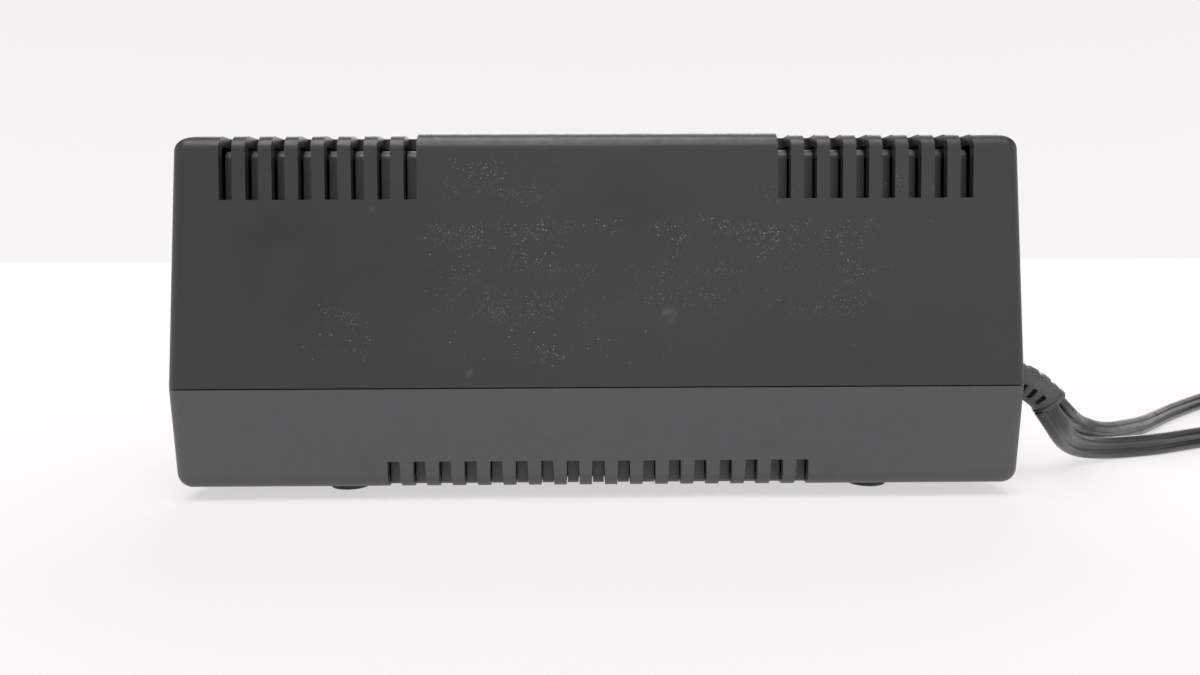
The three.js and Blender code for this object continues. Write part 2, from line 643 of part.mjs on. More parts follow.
function straightRelief() {
  return lathe([[0, -5], [6, -5], [6, -3.2], [4.15, -3.2], [4.15, GAP + 0.1], [5.4, GAP + 0.1],
    [5.2, 2.2], [4.5, 3.2], [4.2, RELIEF_LENGTH - 1], [3.9, RELIEF_LENGTH], [0, RELIEF_LENGTH]],
  "y");
}

function slits(body) {
  let cut = body;
  for (let i = 0; i < RIBS.count; i += 1) {
    const at = RIBS.first + i * RIBS.pitch;
    for (const side of [-1, 1]) {
      const depth = side > 0 ? [2.9, 8] : [-8, -0.9];
      cut = cut.subtract(box([-8, 8], [at, at + RIBS.slit], depth));
    }
  }
  return cut;
}

function bentRelief() {
  // Lathe axis is +Y here: distance along the relief is y, up is z, across is x.
  const geometry = geometryOf(slits(straightRelief()));
  const position = geometry.attributes.position;
  const radius = RELIEF_BEND / RELIEF_TURN;
  const start = RELIEF_LENGTH - RELIEF_BEND;
  for (let i = 0; i < position.count; i += 1) {
    const across = position.getX(i);
    const along = position.getY(i);
    const up = position.getZ(i);
    const angle = Math.max(0, (along - start) / radius);
    const reach = Math.min(along, start) + (radius + up) * Math.sin(angle);
    const height = (radius + up) * Math.cos(angle) - radius;
    position.setXYZ(i, -WIDTH / 2 - reach, RELIEF_Y + across, PARTING_Z + height);
  }
  return geometry;
}
place(charger, "strain_relief", bentRelief(), RUBBER);

// ---------------------------------------------------------------- leads

function lead(points, steps, radius = LEAD_THICKNESS / 2) {
  const path = new THREE.CatmullRomCurve3(points.map((p) => new THREE.Vector3(...p)));
  const section = new THREE.Shape();
  section.absarc(0, 0, radius, 0, 2 * Math.PI, false);
  return new THREE.ExtrudeGeometry(section, {
    steps, curveSegments: 4, extrudePath: path, bevelEnabled: false,
  });
}

// The ring that the coiled turns fill, and a flat band tied round it.
function coilRing(coil, height) {
  const [x, y] = coil.centre;
  const inner = coil.outer - (coil.turns / 2) * coil.pitch - LEAD_THICKNESS / 2 - 0.2;
  const outer = coil.outer + LEAD_THICKNESS / 2 + 0.2;
  const profile = [[inner, COIL_BASE], [outer, COIL_BASE], [outer, COIL_BASE + height],
    [inner, COIL_BASE + height], [inner, COIL_BASE]];
  return { inner, outer, geometry: latheGeometry(profile, "z", 32).translate(x, y, 0) };
}

function coilTie(coil, ring, height, angle) {
  const width = 4;
  const skin = 0.6;
  const band = box([ring.inner - GAP - skin, ring.outer + GAP + skin], [-width / 2, width / 2],
    [0, COIL_BASE + height + GAP + skin])
    .subtract(box([ring.inner - GAP, ring.outer + GAP], [-width, width],
      [COIL_BASE - GAP, COIL_BASE + height + GAP]));
  const [x, y] = coil.centre;
  return band.rotate([0, 0, angle]).translate([x, y, 0]);
}

const mainsRing = coilRing(MAINS_COIL, MAINS_COIL_HEIGHT);
const dcRing = coilRing(DC_COIL, DC_COIL_HEIGHT);
place(charger, "mains_lead", lead(MAINS_ROUTE, 26), CORD);
place(charger, "mains_coil", mainsRing.geometry, CORD);
place(charger, "mains_tie", coilTie(MAINS_COIL, mainsRing, MAINS_COIL_HEIGHT, 90), BLACK);
place(charger, "mains_tail", lead(MAINS_TAIL, 5), CORD);
place(charger, "dc_lead", lead(DC_ROUTE, 34), CORD);
place(charger, "dc_coil", dcRing.geometry, CORD);
place(charger, "dc_tie", coilTie(DC_COIL, dcRing, DC_COIL_HEIGHT, 100), BLACK);

// ---------------------------------------------------------------- mains plug

const plugFrame = new THREE.Group();
plugFrame.position.set(...PLUG.at);
plugFrame.rotation.z = (PLUG.heading * Math.PI) / 180;
charger.add(plugFrame);

const PLUG_BODY = { length: 30, half: 12.5, thickness: 13 };
const BLADE = { spacing: 12.7, width: 6.3, thickness: 1.5, length: 17.5, inside: 6 };

function plugBody() {
  const { length, half, thickness } = PLUG_BODY;
  const outline = roundedShape([[-4.5, 0], [4.5, 0], [half, 13], [half, length],
    [-half, length], [-half, 13]], 1.9);
  const body = solid(upwards(outline, [-thickness / 2, thickness / 2], 1.6));
  const pocket = BLADE.thickness / 2 + GAP;
  const pockets = [-BLADE.spacing / 2, BLADE.spacing / 2].map((x) => box(
    [x - pocket, x + pocket], [length - BLADE.inside - GAP, length + 5],
    [-BLADE.width / 2 - GAP, BLADE.width / 2 + GAP]));
  return body.subtract(union(pockets));
}
place(plugFrame, "mains_plug", plugBody(), BLACK);
[-1, 1].forEach((side, i) => {
  const x = (side * BLADE.spacing) / 2;
  place(plugFrame, `plug_blade_${i + 1}`, boxGeometry(
    [x - BLADE.thickness / 2, x + BLADE.thickness / 2],
    [PLUG_BODY.length - BLADE.inside, PLUG_BODY.length + BLADE.length - 0.5],
    [-BLADE.width / 2, BLADE.width / 2]), BRASS);
});

// ---------------------------------------------------------------- spring clips

// Each clip lies on its side with the pivot upright. The fixed jaw is on +X, the moving
// jaw mirrors it, and the ears that carry the pin interleave in height.
const PIN_RADIUS = 1;
const EAR_RADIUS = 2.7;
const TOOTH = { first: 9, pitch: 3, count: 6, depth: 0.9 };

function jawOutline() {
  const points = [[3.4, -3], [5.2, -10], [7.4, -22.4], [9.4, -22], [8.4, -10], [6.2, 1],
    [5.8, 10], [4.4, 20], [1.8, 27.4], [0.25, 27]];
  for (let i = TOOTH.count - 1; i >= 0; i -= 1) {
    const y = TOOTH.first + i * TOOTH.pitch;
    points.push([0.25 + TOOTH.depth, y + TOOTH.pitch / 2], [0.25, y]);
  }
  points.push([2.6, 7.5], [3.4, 3]);
  return points;
}

function jaw(side, height, ears) {
  const outline = jawOutline().map(([x, y]) => [side * x, y]);
  const plate = upwards(polygonShape(side > 0 ? outline : outline.reverse()), height);
  let body = solid(plate);
  for (const level of ears) {
    const reach = [[0, 0], [side * 4.4, 0]].map(([x]) => x).sort((a, b) => a - b);
    body = body.add(uprightRod(EAR_RADIUS, [0, 0], ...level, 16))
      .add(box(reach, [-1.6, 1.6], level));
  }
  return body.subtract(uprightRod(PIN_RADIUS + GAP, [0, 0], -5, 20, 16));
}

function crimp() {
  return box([3.4, 7.2], [-17.4, -9.5], [3.1, 6.3]);
}

for (const [name, [x, y]] of Object.entries(CLIPS)) {
  const clip = new THREE.Group();
  clip.position.set(x, y, 0.2);
  charger.add(clip);
  const colour = name === "red" ? RED : BLACK;
  place(clip, `clip_${name}_fixed_jaw`, jaw(1, [0, CLIP_HEIGHT], [[3.3, 5.7]]).add(crimp()), colour);
  place(clip, `clip_${name}_moving_jaw`,
    jaw(-1, [0.2, CLIP_HEIGHT - 0.2], [[0.2, 2.9], [6.1, CLIP_HEIGHT - 0.2]]), colour);
  place(clip, `clip_${name}_pin`, lathe(rod(PIN_RADIUS, 0.2, CLIP_HEIGHT - 0.2), "z", 16), STEEL);
  const bend = name === "red" ? 1 : -1;
  const end = [x + 4.7, y - 17.8, 4.9];
  place(charger, `dc_tail_${name}`, lead([
    [-311 + bend * 1.6, -37.6, 5.4], [-311 + bend * 3.2, -32, 4.5],
    [(-311 + end[0]) / 2 + bend * 2, -24, 4.2], [end[0], end[1] - 4, 4.7], end,
  ], 9, 1.2), colour);
}
place(charger, "dc_tail", lead(DC_TAIL, 4), CORD);

export default charger;
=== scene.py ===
"""Balance battery charger: a vented two-part housing, a sloping control panel, front sockets and two flat
twin leads that leave through one strain relief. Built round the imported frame, in metres."""

import json
import math

import bmesh
import bpy
from bpy.props import FloatProperty, FloatVectorProperty, IntProperty, PointerProperty
from mathutils import Matrix, Vector


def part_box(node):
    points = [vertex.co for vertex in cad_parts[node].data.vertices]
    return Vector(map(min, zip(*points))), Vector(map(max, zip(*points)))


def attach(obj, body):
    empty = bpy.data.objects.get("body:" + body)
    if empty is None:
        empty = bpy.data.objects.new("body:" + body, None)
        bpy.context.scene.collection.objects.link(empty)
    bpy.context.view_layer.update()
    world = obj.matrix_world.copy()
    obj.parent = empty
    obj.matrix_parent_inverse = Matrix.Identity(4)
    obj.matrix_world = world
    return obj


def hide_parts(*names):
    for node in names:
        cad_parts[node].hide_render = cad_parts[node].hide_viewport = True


bl_info = {
    "name": "Balance battery charger",
    "version": (1, 0, 0),
    "blender": (4, 5, 0),
    "location": "3D View > Sidebar > Charger",
    "description": "Builds a bench battery charger with vents, panel, sockets, strain relief and leads",
    "category": "Object",
}

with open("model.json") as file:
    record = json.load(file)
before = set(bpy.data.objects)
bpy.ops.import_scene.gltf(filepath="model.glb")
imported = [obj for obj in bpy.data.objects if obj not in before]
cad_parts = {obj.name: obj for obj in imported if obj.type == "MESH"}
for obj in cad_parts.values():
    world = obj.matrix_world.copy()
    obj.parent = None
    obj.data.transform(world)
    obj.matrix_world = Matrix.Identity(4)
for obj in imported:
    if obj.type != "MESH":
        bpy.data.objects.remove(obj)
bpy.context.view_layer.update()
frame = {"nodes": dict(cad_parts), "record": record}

MM = 0.001  # shapes below are drawn in millimetres
UPPER_BOX = [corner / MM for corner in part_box("upper_shell")]
LOWER_BOX = [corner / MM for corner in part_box("lower_shell")]
BODY_OF = {node: body for body, nodes in frame["record"]["behaviour"]["bodies"].items() for node in nodes}

# ---------------------------------------------------------------- housing dimensions

WIDTH = round(UPPER_BOX[1].x - UPPER_BOX[0].x, 1)
DEPTH = round(LOWER_BOX[1].y - LOWER_BOX[0].y)
FOOT_HEIGHT = round(LOWER_BOX[0].z, 1)
PARTING_Z = 27
TOP_Z = 86
HALF = DEPTH / 2
DRAFT = math.tan(math.radians(2.5))
CREST_Y = 2
SLOPE_FOOT_Z = 48
BAND_WIDTH = 83.6
BAND_RISE = 0.45
OVERRUN = 7

TOP_SLOTS = {"first": 42, "pitch": 6.1, "count": 8, "width": 3, "foot": 71, "reach": 62.3}
LOW_SLOTS = {"first": 49.9, "pitch": 6.05, "count": 17, "head": 9.5, "reach": 62}
LOW_SLOT_WIDTHS = (2.8, 3.3)
BAFFLE = {"width": 2.6, "setback": 3.8, "thickness": 1.6}

FEET = ((62.5, 58), (-68, 58), (64, -57.5), (-66, -57))
BOSSES = ((90, 38), (-90, 38), (90, -60), (-90, -60))

RELIEF_Y = 55
RELIEF_LENGTH = 16.75
RELIEF_BEND = 17
RELIEF_TURN = math.radians(54)


def half_depth_at(z):
    return HALF - abs(z - PARTING_Z) * DRAFT


UPPER_OUTLINE = [
    (-HALF - OVERRUN * DRAFT, PARTING_Z - OVERRUN),
    (HALF + OVERRUN * DRAFT, PARTING_Z - OVERRUN),
    (half_depth_at(TOP_Z), TOP_Z),
    (CREST_Y, TOP_Z),
    (-half_depth_at(SLOPE_FOOT_Z), SLOPE_FOOT_Z),
]
LOWER_OUTLINE = [
    (-half_depth_at(FOOT_HEIGHT), FOOT_HEIGHT),
    (half_depth_at(FOOT_HEIGHT), FOOT_HEIGHT),
    (HALF + OVERRUN * DRAFT, PARTING_Z + OVERRUN),
    (-HALF - OVERRUN * DRAFT, PARTING_Z + OVERRUN),
]

SLOPE_ANGLE = math.atan2(TOP_Z - SLOPE_FOOT_Z, CREST_Y + half_depth_at(SLOPE_FOOT_Z))
SLOPE_PLACE = Matrix.Translation((
    0,
    (CREST_Y - half_depth_at(SLOPE_FOOT_Z)) / 2 - BAND_RISE * math.sin(SLOPE_ANGLE),
    (TOP_Z + SLOPE_FOOT_Z) / 2 + BAND_RISE * math.cos(SLOPE_ANGLE),
)) @ Matrix.Rotation(SLOPE_ANGLE, 4, "X")

PANEL_HALF = (39, 35)
WINDOW = {"u": 32, "low": 4.3, "high": 20.7}
BUTTONS = {"stop": -28.5, "down": -9.5, "up": 9.5, "start": 28.5}
BUTTON_HALF = (6.5, 4)
BUTTON_V = -18

# ---------------------------------------------------------------- lead dimensions

MAINS_ROUTE = [
    (-113.9, 56.3, 18.8), (-114.9, 56.3, 17.4), (-116.6, 55.9, 15.2), (-118.8, 54.0, 12.8),
    (-122.3, 49.8, 9.8), (-127.5, 43.8, 6.9), (-134.0, 37.8, 4.8), (-142.0, 32.8, 3.5),
    (-150.0, 29.5, 3.15), (-160.0, 26.0, 3.15), (-170.0, 20.8, 3.15), (-179.0, 16.0, 3.15),
    (-189.0, 10.7, 3.2), (-199.0, 5.3, 3.3),
]
MAINS_COIL = {"centre": (-235.4, 30.6), "outer": 39.5, "pitch": 3.3, "start": -61.9, "turns": 6.272,
              "levels": (4.0, 10.2)}
MAINS_TAIL = [(-278.6, 33.8, 8.6), (-281.2, 41.0, 7.8), (-283.85, 48.3, 7.2), (-285.6, 53.0, 7.1)]
DC_ROUTE = [
    (-115.6, 53.6, 21.2), (-117.0, 53.5, 20.0), (-119.3, 52.7, 17.8), (-122.6, 49.6, 15.4),
    (-127.0, 43.3, 13.1), (-133.6, 35.2, 10.1), (-142.3, 27.6, 7.2), (-149.5, 21.2, 6.0),
    (-157.5, 13.2, 5.2), (-170.0, 0.0, 4.0), (-183.0, -15.5, 3.2), (-196.5, -30.4, 3.0),
    (-209.5, -43.3, 3.0), (-222.7, -56.0, 3.0), (-233.0, -66.1, 3.1), (-243.4, -76.3, 3.3),
]
DC_COIL = {"centre": (-278.0, -63.9), "outer": 33, "pitch": 3.1, "start": -45.6, "turns": 3.373,
           "levels": (3.8, 9.6)}
DC_TAIL = [(-311.0, -47.8, 7.8), (-311.0, -43.0, 6.6), (-311.0, -38.0, 5.6), (-311.0, -36.6, 5.4)]
COIL_BASE = 0.9
PLUG = {"at": (-284, 48.7, 7.1), "heading": 20}
CLIPS = {"red": (-301, 4), "black": (-327, 4)}


# ---------------------------------------------------------------- settings

class HousingSettings(bpy.types.PropertyGroup):
    wall: FloatProperty(name="Wall", description="Thickness of both shells' walls",
                        default=2.5 * MM, unit="LENGTH", subtype="DISTANCE")
    edge_radius: FloatProperty(name="Edge radius", description="Rounding of the housing's long edges",
                               default=3.7 * MM, unit="LENGTH", subtype="DISTANCE")
    side_radius: FloatProperty(name="Side radius", description="Rounding where the side walls begin",
                               default=3.4 * MM, unit="LENGTH", subtype="DISTANCE")
    crown_width: FloatProperty(name="Crown width", description="Rounding inwards at the top edges",
                               default=6.6 * MM, unit="LENGTH", subtype="DISTANCE")
    crown_drop: FloatProperty(name="Crown drop", description="Rounding downwards at the top edges",
                              default=4.6 * MM, unit="LENGTH", subtype="DISTANCE")
    seam: FloatProperty(name="Seam", description="Gap between the two shells",
                        default=0.3 * MM, unit="LENGTH", subtype="DISTANCE")
    cut_edge: FloatProperty(name="Cut edge", description="Softening of slot and window edges",
                            default=0.2 * MM, unit="LENGTH", subtype="DISTANCE")
    upper_colour: FloatVectorProperty(name="Upper shell", description="Plastic of the upper shell",
                                      default=(0.019, 0.0185, 0.0195), subtype="COLOR")
    # Lighter than the upper shell: partly the moulding's own shade, partly painted light that stands in for
    # the bright floor's bounce on this downward-leaning wall.
    lower_colour_with_painted_bounce: FloatVectorProperty(name="Lower shell", description="Plastic of the lower shell",
                                      default=(0.058, 0.056, 0.06), subtype="COLOR")


class PanelSettings(bpy.types.PropertyGroup):
    film_colour: FloatVectorProperty(name="Film", description="Overlay of the control panel",
                                     default=(0.016, 0.017, 0.02), subtype="COLOR")
    key_colour: FloatVectorProperty(name="Keys", description="Caps of the grey buttons",
                                    default=(0.2, 0.205, 0.215), subtype="COLOR")
    stop_colour: FloatVectorProperty(name="Stop key", description="Cap of the stop button",
                                     default=(0.35, 0.03, 0.02), subtype="COLOR")
    key_dish: FloatProperty(name="Dish", description="How far the buttons' tops sink in the middle",
                            default=0.25 * MM, unit="LENGTH", subtype="DISTANCE")


class LeadSettings(bpy.types.PropertyGroup):
    mains_width: FloatProperty(name="Mains width", description="Width of the mains twin flex",
                               default=6.2 * MM, unit="LENGTH", subtype="DISTANCE")
    dc_width: FloatProperty(name="DC width", description="Width of the DC twin flex",
                            default=5.8 * MM, unit="LENGTH", subtype="DISTANCE")
    groove: FloatProperty(name="Groove", description="Depth of the groove between the two cores",
                          default=0.62 * MM, unit="LENGTH", subtype="DISTANCE")
    turn_steps: IntProperty(name="Steps per turn", description="Rings in each turn of a coil",
                            default=48, min=12)
    sheath_colour: FloatVectorProperty(name="Sheath", description="PVC of both leads",
                                       default=(0.024, 0.023, 0.0245), subtype="COLOR")


class StageSettings(bpy.types.PropertyGroup):
    floor_size: FloatProperty(name="Floor", description="Half the floor's side",
                              default=6.0, unit="LENGTH", subtype="DISTANCE")
    floor_colour: FloatVectorProperty(name="Floor colour", description="Pale translucent floor",
                                      default=(0.24, 0.238, 0.236), subtype="COLOR")
    floor_glow: FloatProperty(name="Floor glow", description="Light that comes up through the floor",
                              default=0.6)
    lens: FloatProperty(name="Lens", description="Focal length in millimetres", default=30.3, unit="CAMERA")
    sky: FloatProperty(name="Surround", description="Strength of the light from all round", default=1.0)
    overhead: FloatProperty(name="Overhead", description="Strength of the softbox above the rear edge",
                            default=3.1)
    crest: FloatProperty(name="Crest", description="Strength of the softbox beyond the charger",
                         default=2.6)
    fill: FloatProperty(name="Fill", description="Strength of the low softbox behind the viewer",
                        default=0.35)


# ---------------------------------------------------------------- mesh tools

def add_mesh(name, verts, faces):
    """A new object from points in millimetres, with its faces turned outwards."""
    mesh = bpy.data.meshes.new(name)
    mesh.from_pydata([Vector(v) * MM for v in verts], [], faces)
    made = bmesh.new()
    made.from_mesh(mesh)
    bmesh.ops.recalc_face_normals(made, faces=made.faces)
    made.to_mesh(mesh)
    made.free()
    piece = bpy.data.objects.new(name, mesh)
    bpy.context.scene.collection.objects.link(piece)
    return piece


def loft(rings, closed=False, capped=True):
    """Points and faces of a skin over rings with the same number of points."""
    count = len(rings[0])
    verts = [point for ring in rings for point in ring]
    faces = []
    for k in range(len(rings) if closed else len(rings) - 1):
        a = k * count
        b = (k + 1) % len(rings) * count
        for i in range(count):
            j = (i + 1) % count
            faces.append((a + i, a + j, b + j, b + i))
    if capped and not closed:
        faces.append(tuple(reversed(range(count))))
        faces.append(tuple(range(len(verts) - count, len(verts))))
    return verts, faces


def circle(radius, height, steps):
    angles = [2 * math.pi * i / steps for i in range(steps)]
    return [(radius * math.cos(a), radius * math.sin(a), height) for a in angles]


def lathe(name, profile, steps=48, closed=False):
    """A body turned about +Z from (radius, height) points off the axis."""
    return add_mesh(name, *loft([circle(r, h, steps) for r, h in profile], closed))


def shift(piece, matrix):
    """Moves the piece's points, in millimetres, and leaves its origin in place."""
    scale = Matrix.Scale(MM, 4)
    piece.data.transform(scale @ matrix @ scale.inverted())
    return piece


def box_points(x, y, z):
    return [(a, b, c) for c in z for a, b in ((x[0], y[0]), (x[1], y[0]), (x[1], y[1]), (x[0], y[1]))]


BOX_FACES = [(3, 2, 1, 0), (4, 5, 6, 7), (0, 1, 5, 4), (1, 2, 6, 5), (2, 3, 7, 6), (3, 0, 4, 7)]


def add_bodies(name, bodies):
    """One object from several separate (points, faces) bodies."""
    verts, faces = [], []
    for points, sides in bodies:
        base = len(verts)
        verts += points
        faces += [tuple(base + i for i in side) for side in sides]
    return add_mesh(name, verts, faces)


def add_boxes(name, boxes):
    return add_bodies(name, [(box_points(*sides), BOX_FACES) for sides in boxes])


def prism(outline, low, high, place=None):
    """A straight body over an (a, b) outline; place turns (a, b, height) into a point."""
    place = place or (lambda a, b, c: (a, b, c))
    return loft([[place(a, b, c) for a, b in outline] for c in (low, high)])


def along_x(a, b, c):
    return (c, a, b)


def along_y(a, b, c):
    return (a, c, b)


def inset_outline(points, distances):
    """Moves each edge of a convex outline inwards by its own distance."""
    lines = []
    for (ax, ay), (bx, by), distance in zip(points, points[1:] + points[:1], distances):
        length = math.hypot(bx - ax, by - ay)
        nx, ny = -(by - ay) / length, (bx - ax) / length
        lines.append((ax + nx * distance, ay + ny * distance, bx - ax, by - ay))
    corners = []
    for a, b in zip(lines[-1:] + lines[:-1], lines):
        t = ((b[0] - a[0]) * b[3] - (b[1] - a[1]) * b[2]) / (a[2] * b[3] - a[3] * b[2])
        corners.append((a[0] + a[2] * t, a[1] + a[3] * t))
    return corners


def rounded_outline(points, radius, steps=10):
    """A counter-clockwise outline with an arc at each corner."""
    outline = []
    for before, corner, after in zip(points[-1:] + points[:-1], points, points[1:] + points[:1]):
        into = math.atan2(corner[1] - before[1], corner[0] - before[0])
        out = math.atan2(after[1] - corner[1], after[0] - corner[0])
        turn = (out - into + math.pi) % (2 * math.pi) - math.pi
        side = math.copysign(1, turn)
        back = radius * math.tan(abs(turn) / 2)
        centre_a = corner[0] - math.cos(into) * back - math.sin(into) * radius * side
        centre_b = corner[1] - math.sin(into) * back + math.cos(into) * radius * side
        for i in range(steps + 1):
            angle = into - side * math.pi / 2 + turn * i / steps
            outline.append((centre_a + math.cos(angle) * radius, centre_b + math.sin(angle) * radius))
    return outline


def rounded_rectangle(a, b, radius, steps=6):
    return rounded_outline([(a[0], b[0]), (a[1], b[0]), (a[1], b[1]), (a[0], b[1])], radius, steps)


def bake(piece):
    """Turns the piece's modifiers into its mesh."""
    bpy.context.view_layer.update()
    shown = piece.evaluated_get(bpy.context.evaluated_depsgraph_get())
    mesh = bpy.data.meshes.new_from_object(shown)
    piece.modifiers.clear()
    old = piece.data
    piece.data = mesh
    bpy.data.meshes.remove(old)


def combine(piece, tool, operation, crossing=False):
    """Joins, cuts or trims piece with tool, which is used up. crossing: the tool's bodies overlap."""
    modifier = piece.modifiers.new(operation.title(), "BOOLEAN")
    modifier.operation = operation
    modifier.solver = "EXACT"
    modifier.use_self = crossing
    modifier.object = tool
    bake(piece)
    bpy.data.objects.remove(tool)
    if not piece.data.polygons:
        raise RuntimeError(f"{piece.name}: nothing is left after {operation.lower()}")


def soften(piece, width, steps=2, angle=32):
    """Small rounded edges where faces meet sharply, and even shading on flat faces."""
    clean = bmesh.new()
    clean.from_mesh(piece.data)
    bmesh.ops.remove_doubles(clean, verts=clean.verts, dist=1e-6)
    bmesh.ops.dissolve_degenerate(clean, edges=clean.edges, dist=1e-6)
    clean.to_mesh(piece.data)
    clean.free()
    piece.data.polygons.foreach_set("use_smooth", [True] * len(piece.data.polygons))
    bevel = piece.modifiers.new("Soft edges", "BEVEL")
    bevel.width = width * MM
    bevel.segments = steps
    bevel.limit_method = "ANGLE"
    bevel.angle_limit = math.radians(angle)
    bevel.miter_outer = "MITER_ARC"
    bevel.use_clamp_overlap = True
    even = piece.modifiers.new("Even shading", "WEIGHTED_NORMAL")
    even.keep_sharp = True
    return piece


def dress(piece, look, node=None, body=None, stands_for=()):
    """Gives the piece its look and the body it rides on, and hides the nodes it stands for."""
    piece.data.materials.clear()
    piece.data.materials.append(look)
    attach(piece, body or BODY_OF[node or stands_for[0]])
    if stands_for:
        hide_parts(*stands_for)
    return piece


def rework(node, look, edge=0.2, steps=2, angle=32):
    """A finer copy of a node: flat faces rejoined, edges softened, even shading."""
    piece = bpy.data.objects.new(f"{node}_finished", frame["nodes"][node].data.copy())
    bpy.context.scene.collection.objects.link(piece)
    clean = bmesh.new()
    clean.from_mesh(piece.data)
    bmesh.ops.remove_doubles(clean, verts=clean.verts, dist=2e-6)
    bmesh.ops.dissolve_limit(clean, angle_limit=math.radians(0.5), verts=clean.verts, edges=clean.edges)
    clean.to_mesh(piece.data)
    clean.free()
    soften(piece, edge, steps, angle)
    return dress(piece, look, stands_for=(node,))


# ---------------------------------------------------------------- materials

class Finish:
    """One material's nodes, with short ways to add the ones this file uses."""

    def __init__(self, name, colour, roughness, metallic=0.0, ior=1.5):
        self.material = bpy.data.materials.new(name)
        self.material.use_nodes = True
        self.tree = self.material.node_tree
        self.shader = self.tree.nodes["Principled BSDF"]
        self.shader.inputs["Base Color"].default_value = (*colour, 1)
        self.shader.inputs["Roughness"].default_value = roughness
        self.shader.inputs["Metallic"].default_value = metallic
        self.shader.inputs["IOR"].default_value = ior
        self.colour = colour
        self.where = self.tree.nodes.new("ShaderNodeTexCoord").outputs["Object"]

    def put(self, value, socket):
        if isinstance(value, bpy.types.NodeSocket):
            self.tree.links.new(value, socket)
        elif hasattr(value, "__len__") and len(value) == 3 and socket.type == "RGBA":
            socket.default_value = (*value, 1)
        else:
            socket.default_value = value

    def stretch(self, scale, turn=(0, 0, 0)):
        """Place stretched along the axes, for grain that runs one way."""
        node = self.tree.nodes.new("ShaderNodeMapping")
        node.inputs["Scale"].default_value = scale
        node.inputs["Rotation"].default_value = turn
        self.put(self.where, node.inputs["Vector"])
        return node.outputs["Vector"]

    def noise(self, scale, detail=4.0, roughness=0.5, place=None):
        node = self.tree.nodes.new("ShaderNodeTexNoise")
        node.inputs["Scale"].default_value = scale
        node.inputs["Detail"].default_value = detail
        node.inputs["Roughness"].default_value = roughness
        self.put(place or self.where, node.inputs["Vector"])
        return node.outputs["Fac"]

    def cells(self, scale, output="Distance", place=None):
        node = self.tree.nodes.new("ShaderNodeTexVoronoi")
        node.inputs["Scale"].default_value = scale
        self.put(place or self.where, node.inputs["Vector"])
        return node.outputs[output]

    def bands(self, scale, axis="X", distortion=0.0, place=None):
        node = self.tree.nodes.new("ShaderNodeTexWave")
        node.bands_direction = axis
        node.inputs["Scale"].default_value = scale
        node.inputs["Distortion"].default_value = distortion
        node.inputs["Detail Scale"].default_value = 3.0
        self.put(place or self.where, node.inputs["Vector"])
        return node.outputs["Fac"]

    def fit(self, value, low, high, to_low=0.0, to_high=1.0):
        """Carries low..high to to_low..to_high, with soft ends."""
        node = self.tree.nodes.new("ShaderNodeMapRange")
        node.interpolation_type = "SMOOTHSTEP"
        for socket, number in zip(node.inputs, (value, low, high, to_low, to_high)):
            self.put(number, socket)
        return node.outputs["Result"]

    def sum(self, operation, a, b=0.0):
        node = self.tree.nodes.new("ShaderNodeMath")
        node.operation = operation
        node.use_clamp = True
        self.put(a, node.inputs[0])
        self.put(b, node.inputs[1])
        return node.outputs["Value"]

    def total(self, values):
        result = values[0]
        for value in values[1:]:
            result = self.sum("ADD", result, value)
        return result

    def spot(self, centre, radius):
        """1 at a place on the object (millimetres), falling to 0 at the radius."""
        node = self.tree.nodes.new("ShaderNodeVectorMath")
        node.operation = "DISTANCE"
        self.put(self.where, node.inputs[0])
        node.inputs[1].default_value = Vector(centre) * MM
        return self.fit(node.outputs["Value"], radius * MM, 0.2 * radius * MM)

    def blend(self, amount, a, b):
        node = self.tree.nodes.new("ShaderNodeMix")
        node.data_type = "RGBA"
        self.put(amount, node.inputs["Factor"])
        self.put(a, node.inputs[6])
        self.put(b, node.inputs[7])
        return node.outputs[2]

    def shade(self, amount, low, high, colour=None):
        """The colour from low to high times its brightness, by amount."""
        base = colour or self.colour
        return self.blend(amount, [c * low for c in base], [c * high for c in base])

    def relief(self, height, strength, depth, under=None):
        node = self.tree.nodes.new("ShaderNodeBump")
        node.inputs["Strength"].default_value = strength
        node.inputs["Distance"].default_value = depth * MM
        self.put(height, node.inputs["Height"])
        if under is not None:
            self.put(under, node.inputs["Normal"])
        return node.outputs["Normal"]

    def done(self, colour=None, roughness=None, normal=None):
        for value, name in ((colour, "Base Color"), (roughness, "Roughness"), (normal, "Normal")):
            if value is not None:
                self.put(value, self.shader.inputs[name])
        return self.material


LOOKS = {}


def look(name, maker, *values):
    """Makes each material once."""
    if name not in LOOKS:
        LOOKS[name] = maker(name, *values)
    return LOOKS[name]


def moulded(name, colour, roughness, grain=2200, depth=0.02, ior=1.48):
    """Injection-moulded plastic: fine spark texture, faint flow mottling, handling marks."""
    f = Finish(name, colour, roughness, ior=ior)
    mottle = f.noise(60, 3)
    rubbed = f.noise(140, 5, 0.62)
    colour_now = f.shade(mottle, 0.86, 1.14)
    rough_now = f.fit(rubbed, 0.3, 0.7, roughness - 0.07, roughness + 0.07)
    return f.done(colour_now, rough_now, f.relief(f.noise(grain, 3, 0.6), 0.35, depth))


